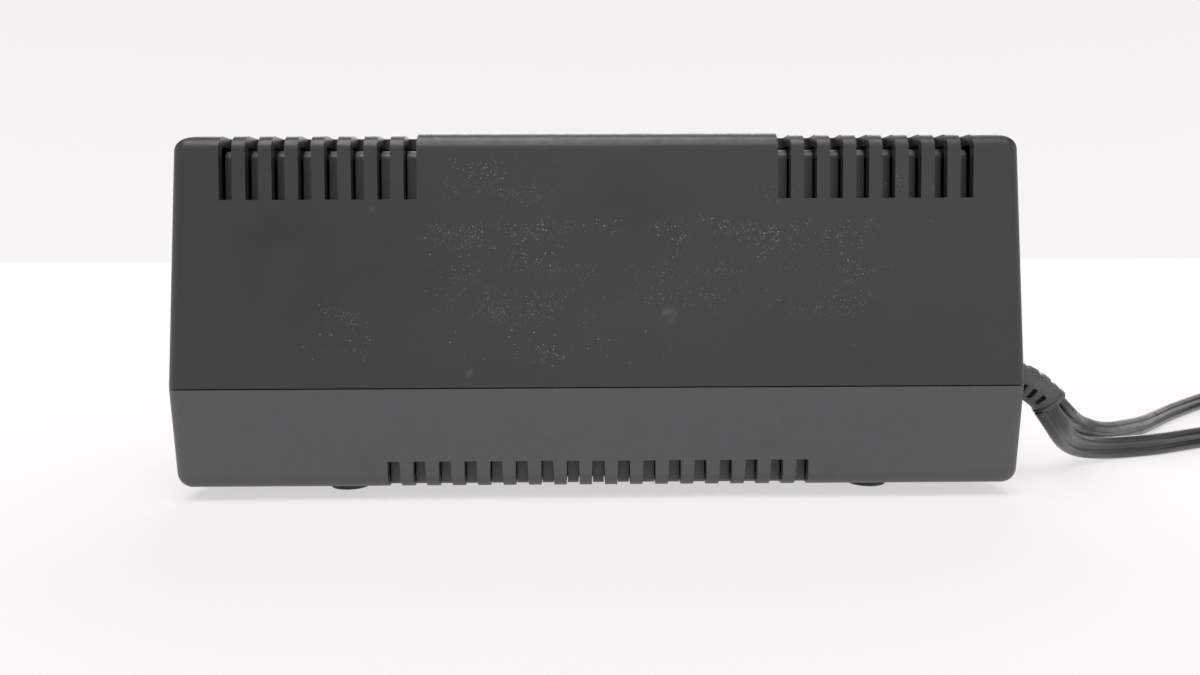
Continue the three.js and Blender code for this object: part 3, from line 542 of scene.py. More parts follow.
BLACK_PLASTIC = (0.014, 0.014, 0.016)
PLASTICS = {"red": (0.33, 0.012, 0.01), "black": BLACK_PLASTIC}
DUST_PATCHES = (
    ((25, 74, 68), 17), ((14, 75, 44), 20), ((-21, 74, 57), 19), ((-54, 74, 55), 24),
    ((-40, 74, 66), 14), ((60, 74, 40), 12), ((-75, 74, 74), 12), ((20, 74, 60), 30),
)
SMUDGES = (((72, 74, 55), 24), ((-10, 74, 66), 20), ((45, 74, 60), 19), ((-62, 74, 38), 14))
SCUFFS = (((-16.6, 75, 44), 2.6), ((52.5, 74, 69), 1.6), ((30, 74, 30.5), 1.8))
DUST_SIZES = ((900, 0.17), (1500, 0.2), (2400, 0.22))  # cells per metre, speck radius in cells
PALE_DUST = (0.32, 0.32, 0.31)
BROWN_DUST = (0.2, 0.13, 0.075)
RUBBED_GREY = (0.17, 0.17, 0.17)


def housing_plastic(name, colour, dustiness):
    """Matte textured housing plastic with dust caught in the texture, smudges and rubbed spots."""
    f = Finish(name, colour, 0.5, ior=1.48)
    broad = f.noise(22, 3, 0.55)
    fine = f.noise(420, 4, 0.6)

    smudge = f.total([f.spot(centre, radius) for centre, radius in SMUDGES])
    smudge = f.sum("MULTIPLY", smudge, f.fit(f.noise(60, 4, 0.6), 0.3, 0.7))
    patches = f.total([f.spot(centre, radius) for centre, radius in DUST_PATCHES])
    patches = f.sum("ADD", patches, f.fit(f.noise(20, 2), 0.5, 0.8, 0.02, 0.3))
    patches = f.sum("MULTIPLY", patches, f.fit(f.noise(110, 5, 0.75), 0.36, 0.62, 0.0, dustiness))

    # Each cell holds one speck, and the patch decides how many of them show.
    specks = []
    for scale, size in DUST_SIZES:
        near = f.fit(f.cells(scale), size, 0.4 * size)
        rare = f.sum("LESS_THAN", f.cells(scale, "Color"), f.sum("MULTIPLY", patches, 0.6))
        specks.append(f.sum("MULTIPLY", near, rare))
    specks = f.total(specks)
    scuff = f.total([f.sum("MULTIPLY", f.spot(centre, radius), f.fit(fine, 0.35, 0.65))
                     for centre, radius in SCUFFS])

    base = f.shade(broad, 0.82, 1.2)
    base = f.blend(f.fit(fine, 0.3, 0.75, 0.0, 0.3), base, [c * 1.3 for c in colour])
    base = f.blend(f.sum("MULTIPLY", smudge, 0.5), base, [c * 0.5 for c in colour])
    base = f.blend(f.sum("MULTIPLY", scuff, 0.3), base, RUBBED_GREY)
    dust_tint = f.blend(f.cells(DUST_SIZES[0][0], "Color"), PALE_DUST, BROWN_DUST)
    base = f.blend(f.sum("MULTIPLY", specks, 0.75), base, dust_tint)

    rough = f.fit(fine, 0.25, 0.75, 0.36, 0.47)
    rough = f.sum("SUBTRACT", rough, f.sum("MULTIPLY", smudge, 0.08))
    rough = f.sum("ADD", rough, f.sum("MULTIPLY", specks, 0.3))
    normal = f.relief(f.noise(3400, 3, 0.65), 0.4, 0.03)
    normal = f.relief(f.cells(2600), 0.22, 0.025, normal)
    return f.done(base, rough, f.relief(specks, 0.4, 0.04, normal))


BLOOM_GREY = (0.05, 0.05, 0.05)
SHEATH_DUST = (0.3, 0.28, 0.25)


def rubber(name, colour=(0.013, 0.013, 0.0135), roughness=0.62):
    """Soft rubber with bloom: pale haze in patches and a fine skin."""
    f = Finish(name, colour, roughness, ior=1.5)
    bloom = f.fit(f.noise(180, 5, 0.65), 0.42, 0.72)
    tone = f.shade(f.noise(50, 2), 0.8, 1.2)
    tone = f.blend(f.sum("MULTIPLY", bloom, 0.45), tone, BLOOM_GREY)
    rough = f.fit(bloom, 0.0, 1.0, roughness - 0.1, roughness + 0.12)
    normal = f.relief(f.noise(1500, 4, 0.6), 0.4, 0.03)
    return f.done(tone, rough, f.relief(f.noise(250, 3), 0.2, 0.08, normal))


def flex_sheath(name, colour):
    """PVC sheath with the satin skin, haze and dust of a handled lead."""
    f = Finish(name, colour, 0.36, ior=1.52)
    haze = f.fit(f.noise(120, 5, 0.62), 0.4, 0.75)
    tone = f.shade(f.noise(40, 2), 0.8, 1.25)
    tone = f.blend(f.sum("MULTIPLY", haze, 0.5), tone, [c * 2.1 for c in colour])
    specks = f.fit(f.cells(900), 0.09, 0.05)
    specks = f.sum("MULTIPLY", specks, f.fit(f.noise(70, 2), 0.5, 0.62))
    tone = f.blend(f.sum("MULTIPLY", specks, 0.6), tone, SHEATH_DUST)
    rough = f.fit(haze, 0.0, 1.0, 0.3, 0.5)
    f.shader.inputs["Coat Weight"].default_value = 0.12
    f.shader.inputs["Coat Roughness"].default_value = 0.25
    normal = f.relief(f.noise(700, 3, 0.55), 0.22, 0.04)
    return f.done(tone, rough, f.relief(f.noise(2600, 2), 0.15, 0.012, normal))


def worn_metal(name, colour, roughness, direction=(1, 1, 1), tarnish=0.25):
    """Drawn or plated metal: fine lines along it and dull patches."""
    f = Finish(name, colour, roughness, metallic=1.0)
    lines = f.noise(1.0, 3, 0.6, f.stretch([900 * d for d in direction]))
    dull = f.fit(f.noise(110, 4, 0.6), 0.42, 0.7)
    tone = f.shade(lines, 0.85, 1.1)
    tone = f.blend(f.sum("MULTIPLY", dull, tarnish), tone, [c * 0.45 for c in colour])
    rough = f.fit(dull, 0.0, 1.0, roughness - 0.06, roughness + 0.16)
    return f.done(tone, rough, f.relief(lines, 0.2, 0.01))


MASKED_COPPER = (0.03, 0.17, 0.06)
TINNED_PAD = (0.55, 0.55, 0.52)


def circuit_board(name):
    """Solder mask over copper tracks, with tinned pads."""
    f = Finish(name, (0.012, 0.09, 0.035), 0.38, ior=1.5)
    tracks = f.fit(f.bands(240, "X"), 0.62, 0.7)
    bends = f.fit(f.noise(28, 0), 0.46, 0.5)
    copper = f.sum("MULTIPLY", tracks, bends)
    pads = f.fit(f.cells(190), 0.2, 0.17)
    tone = f.blend(copper, f.shade(f.noise(300, 3), 0.85, 1.15), MASKED_COPPER)
    tone = f.blend(pads, tone, TINNED_PAD)
    rough = f.fit(pads, 0.0, 1.0, 0.36, 0.28)
    return f.done(tone, rough, f.relief(f.sum("ADD", copper, pads), 0.3, 0.04))


def laminations(name):
    """Stacked varnished sheets, seen as fine lines across the stack."""
    f = Finish(name, (0.1, 0.105, 0.11), 0.42, metallic=0.55)
    sheets = f.bands(630, "Y", 0.2)
    rust = f.fit(f.noise(90, 5, 0.65), 0.55, 0.75)
    tone = f.blend(f.sum("MULTIPLY", rust, 0.5), f.shade(sheets, 0.5, 1.25), (0.12, 0.05, 0.02))
    return f.done(tone, f.fit(rust, 0.0, 1.0, 0.38, 0.7), f.relief(sheets, 0.5, 0.1))


def winding_tape(name):
    """Yellow polyester tape wound in overlapping turns."""
    f = Finish(name, (0.55, 0.3, 0.03), 0.3, ior=1.55)
    laps = f.bands(52, "Z", 0.3)
    tone = f.shade(f.sum("MULTIPLY", laps, f.noise(60, 3)), 0.75, 1.2)
    return f.done(tone, f.fit(f.noise(200, 4), 0.3, 0.7, 0.24, 0.4), f.relief(laps, 0.4, 0.12))


def clear_window(name):
    """Clear acrylic, faintly scratched."""
    f = Finish(name, (0.93, 0.95, 0.93), 0.05, ior=1.49)
    f.shader.inputs["Transmission Weight"].default_value = 1.0
    scratches = f.fit(f.noise(1.0, 2, 0.5, f.stretch((60, 900, 900), (0, 0, 0.4))), 0.64, 0.7)
    return f.done(roughness=f.fit(scratches, 0.0, 1.0, 0.03, 0.22),
                  normal=f.relief(f.noise(500, 2), 0.05, 0.01))


def character_display(name):
    """Grey-green reflective glass with two rows of faint blank character cells."""
    f = Finish(name, (0.16, 0.2, 0.09), 0.25, ior=1.52)
    columns = f.fit(f.bands(87, "X"), 0.1, 0.2)
    rows = f.fit(f.bands(50, "Y"), 0.12, 0.22)
    cell = f.sum("MULTIPLY", columns, rows)
    tone = f.blend(f.sum("MULTIPLY", cell, 0.6), f.shade(f.noise(40, 2), 0.94, 1.06), (0.125, 0.16, 0.07))
    return f.done(tone, f.fit(f.noise(90, 3), 0.3, 0.7, 0.2, 0.3), f.relief(cell, 0.1, 0.01))


def painted_mark(name, colour):
    """Pad-printed ink with a slightly broken edge."""
    f = Finish(name, colour, 0.5)
    worn = f.fit(f.noise(900, 4, 0.7), 0.55, 0.72)
    tone = f.shade(f.noise(200, 2), 0.95, 1.05)
    tone = f.blend(f.sum("MULTIPLY", worn, 0.35), tone, [c * 0.6 for c in colour])
    return f.done(tone, f.fit(worn, 0.0, 1.0, 0.45, 0.6), f.relief(worn, 0.1, 0.01))


def woven_strap(name, colour):
    """Nylon hook-and-loop strap: fine looped pile."""
    f = Finish(name, colour, 0.8)
    f.shader.inputs["Sheen Weight"].default_value = 0.3
    loops = f.cells(2300)
    tone = f.shade(loops, 0.6, 1.7)
    return f.done(tone, f.fit(f.noise(300, 3), 0.3, 0.7, 0.72, 0.9), f.relief(loops, 0.6, 0.12))


def light_table(name, colour, glow):
    """Pale translucent sweep that is lit from below as well, with faint blotches."""
    f = Finish(name, colour, 0.75)
    f.shader.inputs["Specular IOR Level"].default_value = 0.0
    f.shader.inputs["Emission Color"].default_value = (1.0, 0.985, 0.975, 1)
    f.shader.inputs["Emission Strength"].default_value = glow
    f.material.cycles.emission_sampling = "NONE"
    soft = f.noise(6, 3, 0.5)
    return f.done(f.shade(soft, 0.97, 1.03), f.fit(soft, 0.3, 0.7, 0.7, 0.8), f.relief(soft, 0.02, 0.4))


# ---------------------------------------------------------------- stage

# Colour of the light from all round, by the height (sine of elevation) that it comes from.
SURROUND_COLOURS = ((0.0, (0.935, 0.917, 0.92)), (0.24, (0.91, 0.875, 0.868)),
                    (0.5, (0.27, 0.265, 0.265)), (1.0, (0.16, 0.16, 0.16)))
# Where each softbox stands, as a direction, and how wide it looks in degrees.
SOFTBOXES = {
    "overhead": ((0.08, 0.34, 0.94), 46),
    "crest": ((-0.1, -0.85, 0.52), 55),
    "fill": ((-0.3, 0.86, 0.42), 60),
}
CAMERA_AT = (2.33, 309.81, 58.93)
CAMERA_TILT, CAMERA_YAW, CAMERA_ROLL = math.radians(4.9), math.radians(-0.66), math.radians(-0.23)


class CHARGER_OT_stage(bpy.types.Operator):
    """Floor, soft light and the camera behind the charger"""
    bl_idname = "charger.stage"
    bl_label = "Stage"

    def execute(self, context):
        settings = context.scene.charger_stage
        floor = add_mesh("studio_floor", *subdivided_square(settings.floor_size / MM, 12))
        surface = look("light_table", light_table, tuple(settings.floor_colour), settings.floor_glow)
        floor.data.materials.append(surface)
        self.surround(context, settings.sky)
        for name, (towards, spread) in SOFTBOXES.items():
            self.softbox(context, f"{name}_softbox", towards, spread, getattr(settings, name))
        self.camera(context, settings)
        context.scene.view_settings.view_transform = "Standard"
        return {"FINISHED"}

    @staticmethod
    def surround(context, strength):
        """Pale light from all round, as bright at the horizon as the floor and dimmer overhead."""
        world = bpy.data.worlds.new("studio_surround")
        context.scene.world = world
        world.use_nodes = True
        nodes, links = world.node_tree.nodes, world.node_tree.links
        split = nodes.new("ShaderNodeSeparateXYZ")
        ramp = nodes.new("ShaderNodeValToRGB")
        stops = ramp.color_ramp.elements
        for height, colour in SURROUND_COLOURS[1:-1]:
            stops.new(height)
        for stop, (height, colour) in zip(stops, SURROUND_COLOURS):
            stop.position = height
            stop.color = (*colour, 1)
        links.new(nodes.new("ShaderNodeTexCoord").outputs["Generated"], split.inputs["Vector"])
        links.new(split.outputs["Z"], ramp.inputs["Fac"])
        links.new(ramp.outputs["Color"], nodes["Background"].inputs["Color"])
        nodes["Background"].inputs["Strength"].default_value = strength

    @staticmethod
    def softbox(context, name, towards, spread, strength):
        """A far, broad light that shines from a direction; spread is how wide it looks, in degrees."""
        data = bpy.data.lights.new(name, "SUN")
        data.angle = math.radians(spread)
        data.energy = strength
        light = bpy.data.objects.new(name, data)
        light.rotation_euler = Vector(towards).to_track_quat("Z", "Y").to_euler()
        context.scene.collection.objects.link(light)

    @staticmethod
    def camera(context, settings):
        """The view from behind, looking slightly down."""
        data = bpy.data.cameras.new("view_from_behind")
        data.sensor_width = 36
        data.lens = settings.lens
        data.clip_start = 0.01
        data.clip_end = 50
        viewer = bpy.data.objects.new("view_from_behind", data)
        level = math.cos(CAMERA_TILT)
        forward = Vector((math.sin(CAMERA_YAW) * level, -math.cos(CAMERA_YAW) * level,
                          -math.sin(CAMERA_TILT)))
        side = forward.cross(Vector((0, 0, 1))).normalized()
        above = side.cross(forward)
        right = side * math.cos(CAMERA_ROLL) + above * math.sin(CAMERA_ROLL)
        up = above * math.cos(CAMERA_ROLL) - side * math.sin(CAMERA_ROLL)
        turn = Matrix((right, up, -forward)).transposed().to_4x4()
        viewer.matrix_world = Matrix.Translation(Vector(CAMERA_AT) * MM) @ turn
        context.scene.collection.objects.link(viewer)
        context.scene.camera = viewer


def subdivided_square(size, steps):
    """A level square grid of the given half side."""
    line = [-size + 2 * size * i / steps for i in range(steps + 1)]
    verts = [(x, y, 0) for y in line for x in line]
    row = steps + 1
    faces = [(j * row + i, j * row + i + 1, (j + 1) * row + i + 1, (j + 1) * row + i)
             for j in range(steps) for i in range(steps)]
    return verts, faces


# ---------------------------------------------------------------- leads

def smooth_line(points, step):
    """A curve through the points, sampled about every step."""
    path = [Vector(p) for p in points]
    ends = [2 * path[0] - path[1]] + path + [2 * path[-1] - path[-2]]
    line = []
    for a, b, c, d in zip(ends, ends[1:], ends[2:], ends[3:]):
        t0 = 0.0
        t1 = t0 + (b - a).length ** 0.5
        t2 = t1 + (c - b).length ** 0.5
        t3 = t2 + (d - c).length ** 0.5
        count = max(2, round((c - b).length / step))
        for i in range(count):
            t = t1 + (t2 - t1) * i / count
            ab = a.lerp(b, (t - t0) / (t1 - t0))
            bc = b.lerp(c, (t - t1) / (t2 - t1))
            cd = c.lerp(d, (t - t2) / (t3 - t2))
            abc = ab.lerp(bc, (t - t0) / (t2 - t0))
            bcd = bc.lerp(cd, (t - t1) / (t3 - t1))
            line.append(abc.lerp(bcd, (t - t1) / (t2 - t1)))
    line.append(path[-1])
    return line


def coil_line(coil, steps):
    """Turns that run inwards on the lower layer and back outwards on the upper one."""
    x, y = coil["centre"]
    low, high = coil["levels"]
    half = coil["turns"] / 2
    count = round(coil["turns"] * steps)
    line = []
    for i in range(count + 1):
        turned = coil["turns"] * i / count
        inwards = min(turned, coil["turns"] - turned)
        radius = coil["outer"] - coil["pitch"] * inwards
        climb = min(max((turned - half) / 0.3 + 0.5, 0.0), 1.0)
        rise = climb * climb * (3 - 2 * climb)
        angle = math.radians(coil["start"]) - 2 * math.pi * turned
        line.append(Vector((x + radius * math.cos(angle), y + radius * math.sin(angle),
                            low + (high - low) * rise)))
    return line


def even_out(line, step):
    """The same line with its points evenly spaced."""
    lengths = [0.0]
    for a, b in zip(line, line[1:]):
        lengths.append(lengths[-1] + (b - a).length)
    count = round(lengths[-1] / step)
    points = []
    k = 0
    for i in range(count + 1):
        target = lengths[-1] * i / count
        while k < len(lengths) - 2 and lengths[k + 1] < target:
            k += 1
        span = lengths[k + 1] - lengths[k]
        points.append(line[k].lerp(line[k + 1], (target - lengths[k]) / span if span else 0))
    return points


def settle(line, rounds):
    """Rounds off small kinks where stretches of a line join."""
    for _ in range(rounds):
        line = [line[0]] + [(a + 2 * b + c) / 4 for a, b, c in zip(line, line[1:], line[2:])] + [line[-1]]
    return line


def flex_section(width, groove, steps=9):
    """Figure-eight section of twin flex: two round cores and the web between them."""
    core = width / 4
    web = core - groove
    start = math.asin(web / core)
    points = []
    for side in (1, -1):
        for i in range(2 * steps + 1):
            angle = -(math.pi - start) + (2 * math.pi - 2 * start) * i / (2 * steps)
            points.append((side * (core + core * math.cos(angle)), side * core * math.sin(angle)))
    return points


def swept_flex(name, line, section, wide_at):
    """Section carried along the line; wide_at(k) is the way its width points."""
    rings = []
    for k, point in enumerate(line):
        ahead = line[min(k + 1, len(line) - 1)] - line[max(k - 1, 0)]
        ahead.normalize()
        wide = wide_at(k / (len(line) - 1))
        wide = (wide - ahead * wide.dot(ahead)).normalized()
        flat = ahead.cross(wide)
        rings.append([point + wide * a + flat * b for a, b in section])
    piece = add_mesh(name, *loft(rings))
    piece.data.polygons.foreach_set("use_smooth", [True] * len(piece.data.polygons))
    piece.data.set_sharp_from_angle(angle=math.radians(50))
    return piece


def lead_line(route, coil, tail, steps):
    """Centreline of a whole lead: its route, its coil and its tail."""
    line = smooth_line(route, 1.6)
    turns = coil_line(coil, steps)
    rest = smooth_line([turns[-1]] + tail, 1.6)
    bridge = smooth_line([route[-2], route[-1], turns[0], turns[4]], 1.6)
    first = min(range(len(bridge)), key=lambda i: (bridge[i] - Vector(route[-1])).length)
    last = min(range(len(bridge)), key=lambda i: (bridge[i] - turns[0]).length)
    whole = line + bridge[first + 1:last] + turns + rest[1:]
    return settle(even_out(whole, 2.2), 3)


CORE_RADIUS = 1.2
RELIEF_TO_LEAD_TURN = {"mains": 0.035, "dc": 0.06}  # share of each lead along which it turns on edge


class CHARGER_OT_leads(bpy.types.Operator):
    """Both flat twin leads with their coils, ties, plug and clips"""
    bl_idname = "charger.leads"
    bl_label = "Leads"

    def execute(self, context):
        settings = context.scene.charger_leads
        sheath = look("flex_sheath", flex_sheath, tuple(settings.sheath_colour))
        strap = look("tie_strap", woven_strap, (0.02, 0.02, 0.022))
        groove = settings.groove / MM

        mains_line = lead_line(MAINS_ROUTE, MAINS_COIL, MAINS_TAIL, settings.turn_steps)
        mains = swept_flex("mains_flex", mains_line, flex_section(settings.mains_width / MM, groove),
                           upright_after(RELIEF_TO_LEAD_TURN["mains"]))
        dress(mains, sheath, stands_for=("mains_lead", "mains_coil", "mains_tail"))
        mains_tie = coil_tie("mains_strap", MAINS_COIL, settings.mains_width / MM, 90)
        dress(mains_tie, strap, stands_for=("mains_tie",))
        plug = [*mains_plug(), *plug_blades()]

        dc_line = lead_line(DC_ROUTE, DC_COIL, DC_TAIL, settings.turn_steps)
        dc = swept_flex("dc_flex", dc_line, flex_section(settings.dc_width / MM, groove),
                        upright_after(RELIEF_TO_LEAD_TURN["dc"]))
        dress(dc, sheath, stands_for=("dc_lead", "dc_coil", "dc_tail"))
        dc_tie = coil_tie("dc_strap", DC_COIL, settings.dc_width / MM, 100)
        dress(dc_tie, strap, stands_for=("dc_tie",))
        clips = {name: spring_clip(name) for name in CLIPS}

        relief = strain_relief()
        for name in CLIPS:
            tail, line = clip_wire(name)
        return {"FINISHED"}


def upright_after(reach):
    """Wide across the relief's end at first, then on edge along the floor."""
    first = Vector((-0.809, 0, 0.588))

    def wide_at(t):
        amount = min(t / reach, 1.0)
        amount = amount * amount * (3 - 2 * amount)
        return first.lerp(Vector((0, 0, 1)), amount)
    return wide_at


TIE = {"half_width": 2.0, "skin": 0.35, "room": 0.3, "slack": 0.4, "corner": 1.6}


def coil_tie(name, coil, width, angle):
    """A flat strap round the bundle of turns, with its end lapped over on top."""
    half_width, skin = TIE["half_width"], TIE["skin"]
    reach = width / 4 + TIE["room"]
    inner = coil["outer"] - coil["turns"] / 2 * coil["pitch"] - reach - TIE["slack"]
    outer = coil["outer"] + reach + TIE["slack"]
    high = COIL_BASE + 2 * width + TIE["room"] + TIE["slack"]
    bodies = [band_round(rounded_rectangle((inner, outer), (TIE["room"], high), TIE["corner"], 8))]
    lap_from, lap_to, lap_steps, lap_rise = inner + 2.9, outer - 1.6, 14, 0.75
    rings = []
    for i in range(lap_steps + 1):
        along = i / lap_steps
        a = lap_to - (lap_to - lap_from) * along
        b = high + lap_rise * (1 - along ** 6)
        rings.append([(a, -half_width, b - skin / 2), (a, half_width, b - skin / 2),
                      (a, half_width, b + skin), (a, -half_width, b + skin)])
    bodies.append(loft(rings))
    piece = add_bodies(name, bodies)
    shift(piece, Matrix.Translation((*coil["centre"], 0)) @ Matrix.Rotation(math.radians(angle), 4, "Z"))
    return soften(piece, 0.12)


def band_round(loop):
    """A closed flat band that follows a loop in the XZ plane."""
    half_width, skin = TIE["half_width"], TIE["skin"]
    rings = []
    for (pa, pb), (a, b), (na, nb) in zip(loop[-1:] + loop[:-1], loop, loop[1:] + loop[:1]):
        size = math.hypot(na - pa, nb - pb)
        out_a, out_b = (nb - pb) / size * skin, (pa - na) / size * skin
        rings.append([(a + side * out_a, y, b + side * out_b) for side, y in
                      ((-1, -half_width), (1, -half_width), (1, half_width), (-1, half_width))])
    return loft(rings, closed=True)


PLUG_PLACE = Matrix.Translation(PLUG["at"]) @ Matrix.Rotation(math.radians(PLUG["heading"]), 4, "Z")


def soft_box_ring(half_a, half_b, along, steps=40, power=4.5):
    """A squarish ring across +Y."""
    ring = []
    for i in range(steps):
        angle = 2 * math.pi * i / steps
        c, s = math.cos(angle), math.sin(angle)
        size = (abs(c) ** power + abs(s) ** power) ** (-1 / power)
        ring.append((half_a * c * size, along, half_b * s * size))
    return ring


def mains_plug():
    """Moulded two-blade plug with a ribbed neck and finger grooves on its flanks."""
    rings = [soft_box_ring(2.3, 3.4, -5.2, power=2.6)]
    for i in range(5):
        at = -5 + i * 1.9
        grow = 1 + 0.09 * i
        for step, lift in ((0.0, 0.0), (0.25, 0.55), (1.0, 0.6), (1.25, 0.0)):
            half_a, half_b = (2.6 + lift) * grow, (3.7 + lift * 0.7) * grow
            rings.append(soft_box_ring(half_a, half_b, at + step, power=2.8))
    for t in range(9):
        ease = t / 8
        ease = ease * ease * (3 - 2 * ease)
        half_a, half_b = 4.2 + 8.1 * ease, 4.9 + 1.6 * ease
        rings.append(soft_box_ring(half_a, half_b, 4.8 + t * 1.05, power=2.8 + 2 * ease))
    for i in range(5):
        at = 14.2 + i * 2.4
        for step, sink in ((0.0, 0.0), (0.5, 0.5), (1.1, 0.5), (1.6, 0.0)):
            rings.append(soft_box_ring(12.4 - sink, 6.5 - sink * 0.3, at + step))
    for at, sink in ((27.0, 0.0), (28.9, 0.05), (29.6, 0.4), (29.9, 0.9), (30.0, 1.5)):
        rings.append(soft_box_ring(12.45 - sink, 6.5 - sink, at))
    body = add_mesh("mains_plug_moulding", *loft(rings))
    shift(body, PLUG_PLACE)
    soften(body, 0.12, angle=60)
    dress(body, look("plug_moulding", moulded, BLACK_PLASTIC, 0.42), stands_for=("mains_plug",))
    return [body]


def plug_blades():
    """Two flat blades with a hole near the chamfered tip."""
    made = []
    brass = look("blade_plating", worn_metal, (0.72, 0.66, 0.52), 0.24, (1, 0.1, 1), 0.3)
    half_width, tip_half, root, shoulder, tip = 3.15, 2.2, 25.0, 45.6, 46.9
    outline = [(root, -half_width), (root, half_width), (shoulder, half_width),
               (tip, tip_half), (tip, -tip_half), (shoulder, -half_width)]
    hole = [(42.3 + a, b) for a, b, _ in circle(1.6, 0, 24)]
    for i, x in enumerate((-6.35, 6.35)):
        blade = add_mesh(f"plug_blade_{i + 1}_stamping", *prism(outline, x - 0.75, x + 0.75, along_x))
        combine(blade, add_mesh("hole", *prism(hole, x - 2, x + 2, along_x)), "DIFFERENCE")
        shift(blade, PLUG_PLACE)
        soften(blade, 0.15)
        made.append(dress(blade, brass, stands_for=(f"plug_blade_{i + 1}",)))
    return made


def round_tube(name, line, radius, steps=12):
    angles = [2 * math.pi * i / steps for i in range(steps)]
    section = [(radius * math.cos(a), radius * math.sin(a)) for a in angles]
    return swept_flex(name, line, section, lambda t: Vector((0.02, 0.01, 1)))


def clip_wire(name):
    """The single core that splits off the DC lead and runs to its clip."""
    bend = 1 if name == "red" else -1
    split = DC_TAIL[-1][0]
    x, y = CLIPS[name]
    end = Vector((x + 4.7, y - 17.8, 4.9))
    line = smooth_line([
        (split + bend * 1.2, -38.4, 5.5), (split + bend * 1.6, -37.0, 5.3), (split + bend * 3.2, -32.0, 4.5),
        ((split + end.x) / 2 + bend * 2, -24.0, 4.2), (end.x, end.y - 4, 4.7), end, end + Vector((0, 2.2, 0)),
    ], 0.8)
    line = even_out(line, 0.9)
    wire = round_tube(f"dc_core_{name}", line, CORE_RADIUS)
    colour = (0.3, 0.012, 0.01) if name == "red" else (0.02, 0.02, 0.022)
    dress(wire, look(f"core_sheath_{name}", flex_sheath, colour), stands_for=(f"dc_tail_{name}",))
    return wire, line


def spring_clip(name):
    """Spring clip: two toothed jaws on a pin; the torsion spring between the ears is not made here."""
    plastic = look(f"clip_{name}_plastic", moulded, PLASTICS[name], 0.4)
    steel = look("clip_steel", worn_metal, (0.55, 0.56, 0.57), 0.26, (1, 1, 0.1), 0.2)
    fixed = rework(f"clip_{name}_fixed_jaw", plastic, 0.35)
    moving = rework(f"clip_{name}_moving_jaw", plastic, 0.35)
    x, y = CLIPS[name]
    head = [(0.2, 0.1), (0.95, 0.1), (1.0, 0.3), (1.0, 8.9), (0.9, 9.0), (0.2, 9.05)]
    pin = shift(lathe(f"clip_{name}_rivet", head, 32), Matrix.Translation((x, y, 0.2)))
    soften(pin, 0.08)
    dress(pin, steel, stands_for=(f"clip_{name}_pin",))
    return [fixed, moving, pin]


# ---------------------------------------------------------------- strain relief

RELIEF_RIBS = {"first": 2.85, "pitch": 3.1, "slit": 1.3, "count": 4}


def strain_relief():
    """Rubber relief with slits above and below a bridge, bent down out of the side wall."""
    profile = [(0.05, -5), (6, -5), (6, -3.2), (4.15, -3.2), (4.15, 0.4), (5.0, 0.4), (5.35, 0.6), (5.4, 1.0),
               (5.2, 2.0), (4.9, 2.7), (4.62, 3.4)]
    at = 3.4
    while at < RELIEF_LENGTH - 1.4:
        at += 0.35
        profile.append((4.45 - 0.02 * at, at))
    profile += [(4.45, RELIEF_LENGTH - 1.2), (4.5, RELIEF_LENGTH - 0.5), (4.3, RELIEF_LENGTH - 0.12),
                (4.0, RELIEF_LENGTH), (0.05, RELIEF_LENGTH)]
    piece = lathe("strain_relief_boot", profile, 64)
    cuts = []
    for i in range(RELIEF_RIBS["count"]):
        start = RELIEF_RIBS["first"] + i * RELIEF_RIBS["pitch"]
        cuts.append(((-8, 8), (-3.35, -0.7), (start, start + RELIEF_RIBS["slit"])))
        cuts.append(((-8, 8), (3.3, 8), (start, start + RELIEF_RIBS["slit"])))
    combine(piece, add_boxes("slits", cuts), "DIFFERENCE")
    soften(piece, 0.24, 3, 40)
    bake(piece)
    bend_relief(piece)
    finish = look("relief_rubber", rubber, (0.062, 0.06, 0.062), 0.5)
    return dress(piece, finish, stands_for=("strain_relief",))


def bend_relief(piece):
    """Lays the straight body, drawn up +Z, along -X and turns its free end downwards."""
    radius = RELIEF_BEND / RELIEF_TURN
    start = RELIEF_LENGTH - RELIEF_BEND
    for vertex in piece.data.vertices:
        across, up, along = vertex.co / MM
        angle = max(0.0, (along - start) / radius)
        reach = min(along, start) + (radius + up) * math.sin(angle)
        height = (radius + up) * math.cos(angle) - radius
        vertex.co = Vector((-WIDTH / 2 - reach, RELIEF_Y + across, PARTING_Z + height)) * MM


class CHARGER_OT_feet(bpy.types.Operator):
    """Four rubber feet in their pockets under the lower shell"""
    bl_idname = "charger.feet"
    bl_label = "Feet"

    def execute(self, context):
        profile = [(2.2, 0.35), (3.0, 0.02), (4.1, 0.0), (4.5, 0.12), (4.8, 0.45), (4.95, 0.9),
                   (5.0, 1.5), (5.0, 3.4)]
        finish = look("foot_rubber", rubber)
        for i, (x, y) in enumerate(FEET):
            foot = shift(lathe(f"rubber_foot_{i + 1}", profile, 56), Matrix.Translation((x, y, 0)))
            soften(foot, 0.05, angle=50)
            dress(foot, finish, stands_for=(f"foot_{i + 1}",))
        return {"FINISHED"}


# ---------------------------------------------------------------- shells

def lean(point, direction):
    """Side walls lean in as they leave the parting line, up or down."""
    x, y, z = point
    return (x * (1 - direction * (z - PARTING_Z) * DRAFT * 2 / WIDTH), y, z)


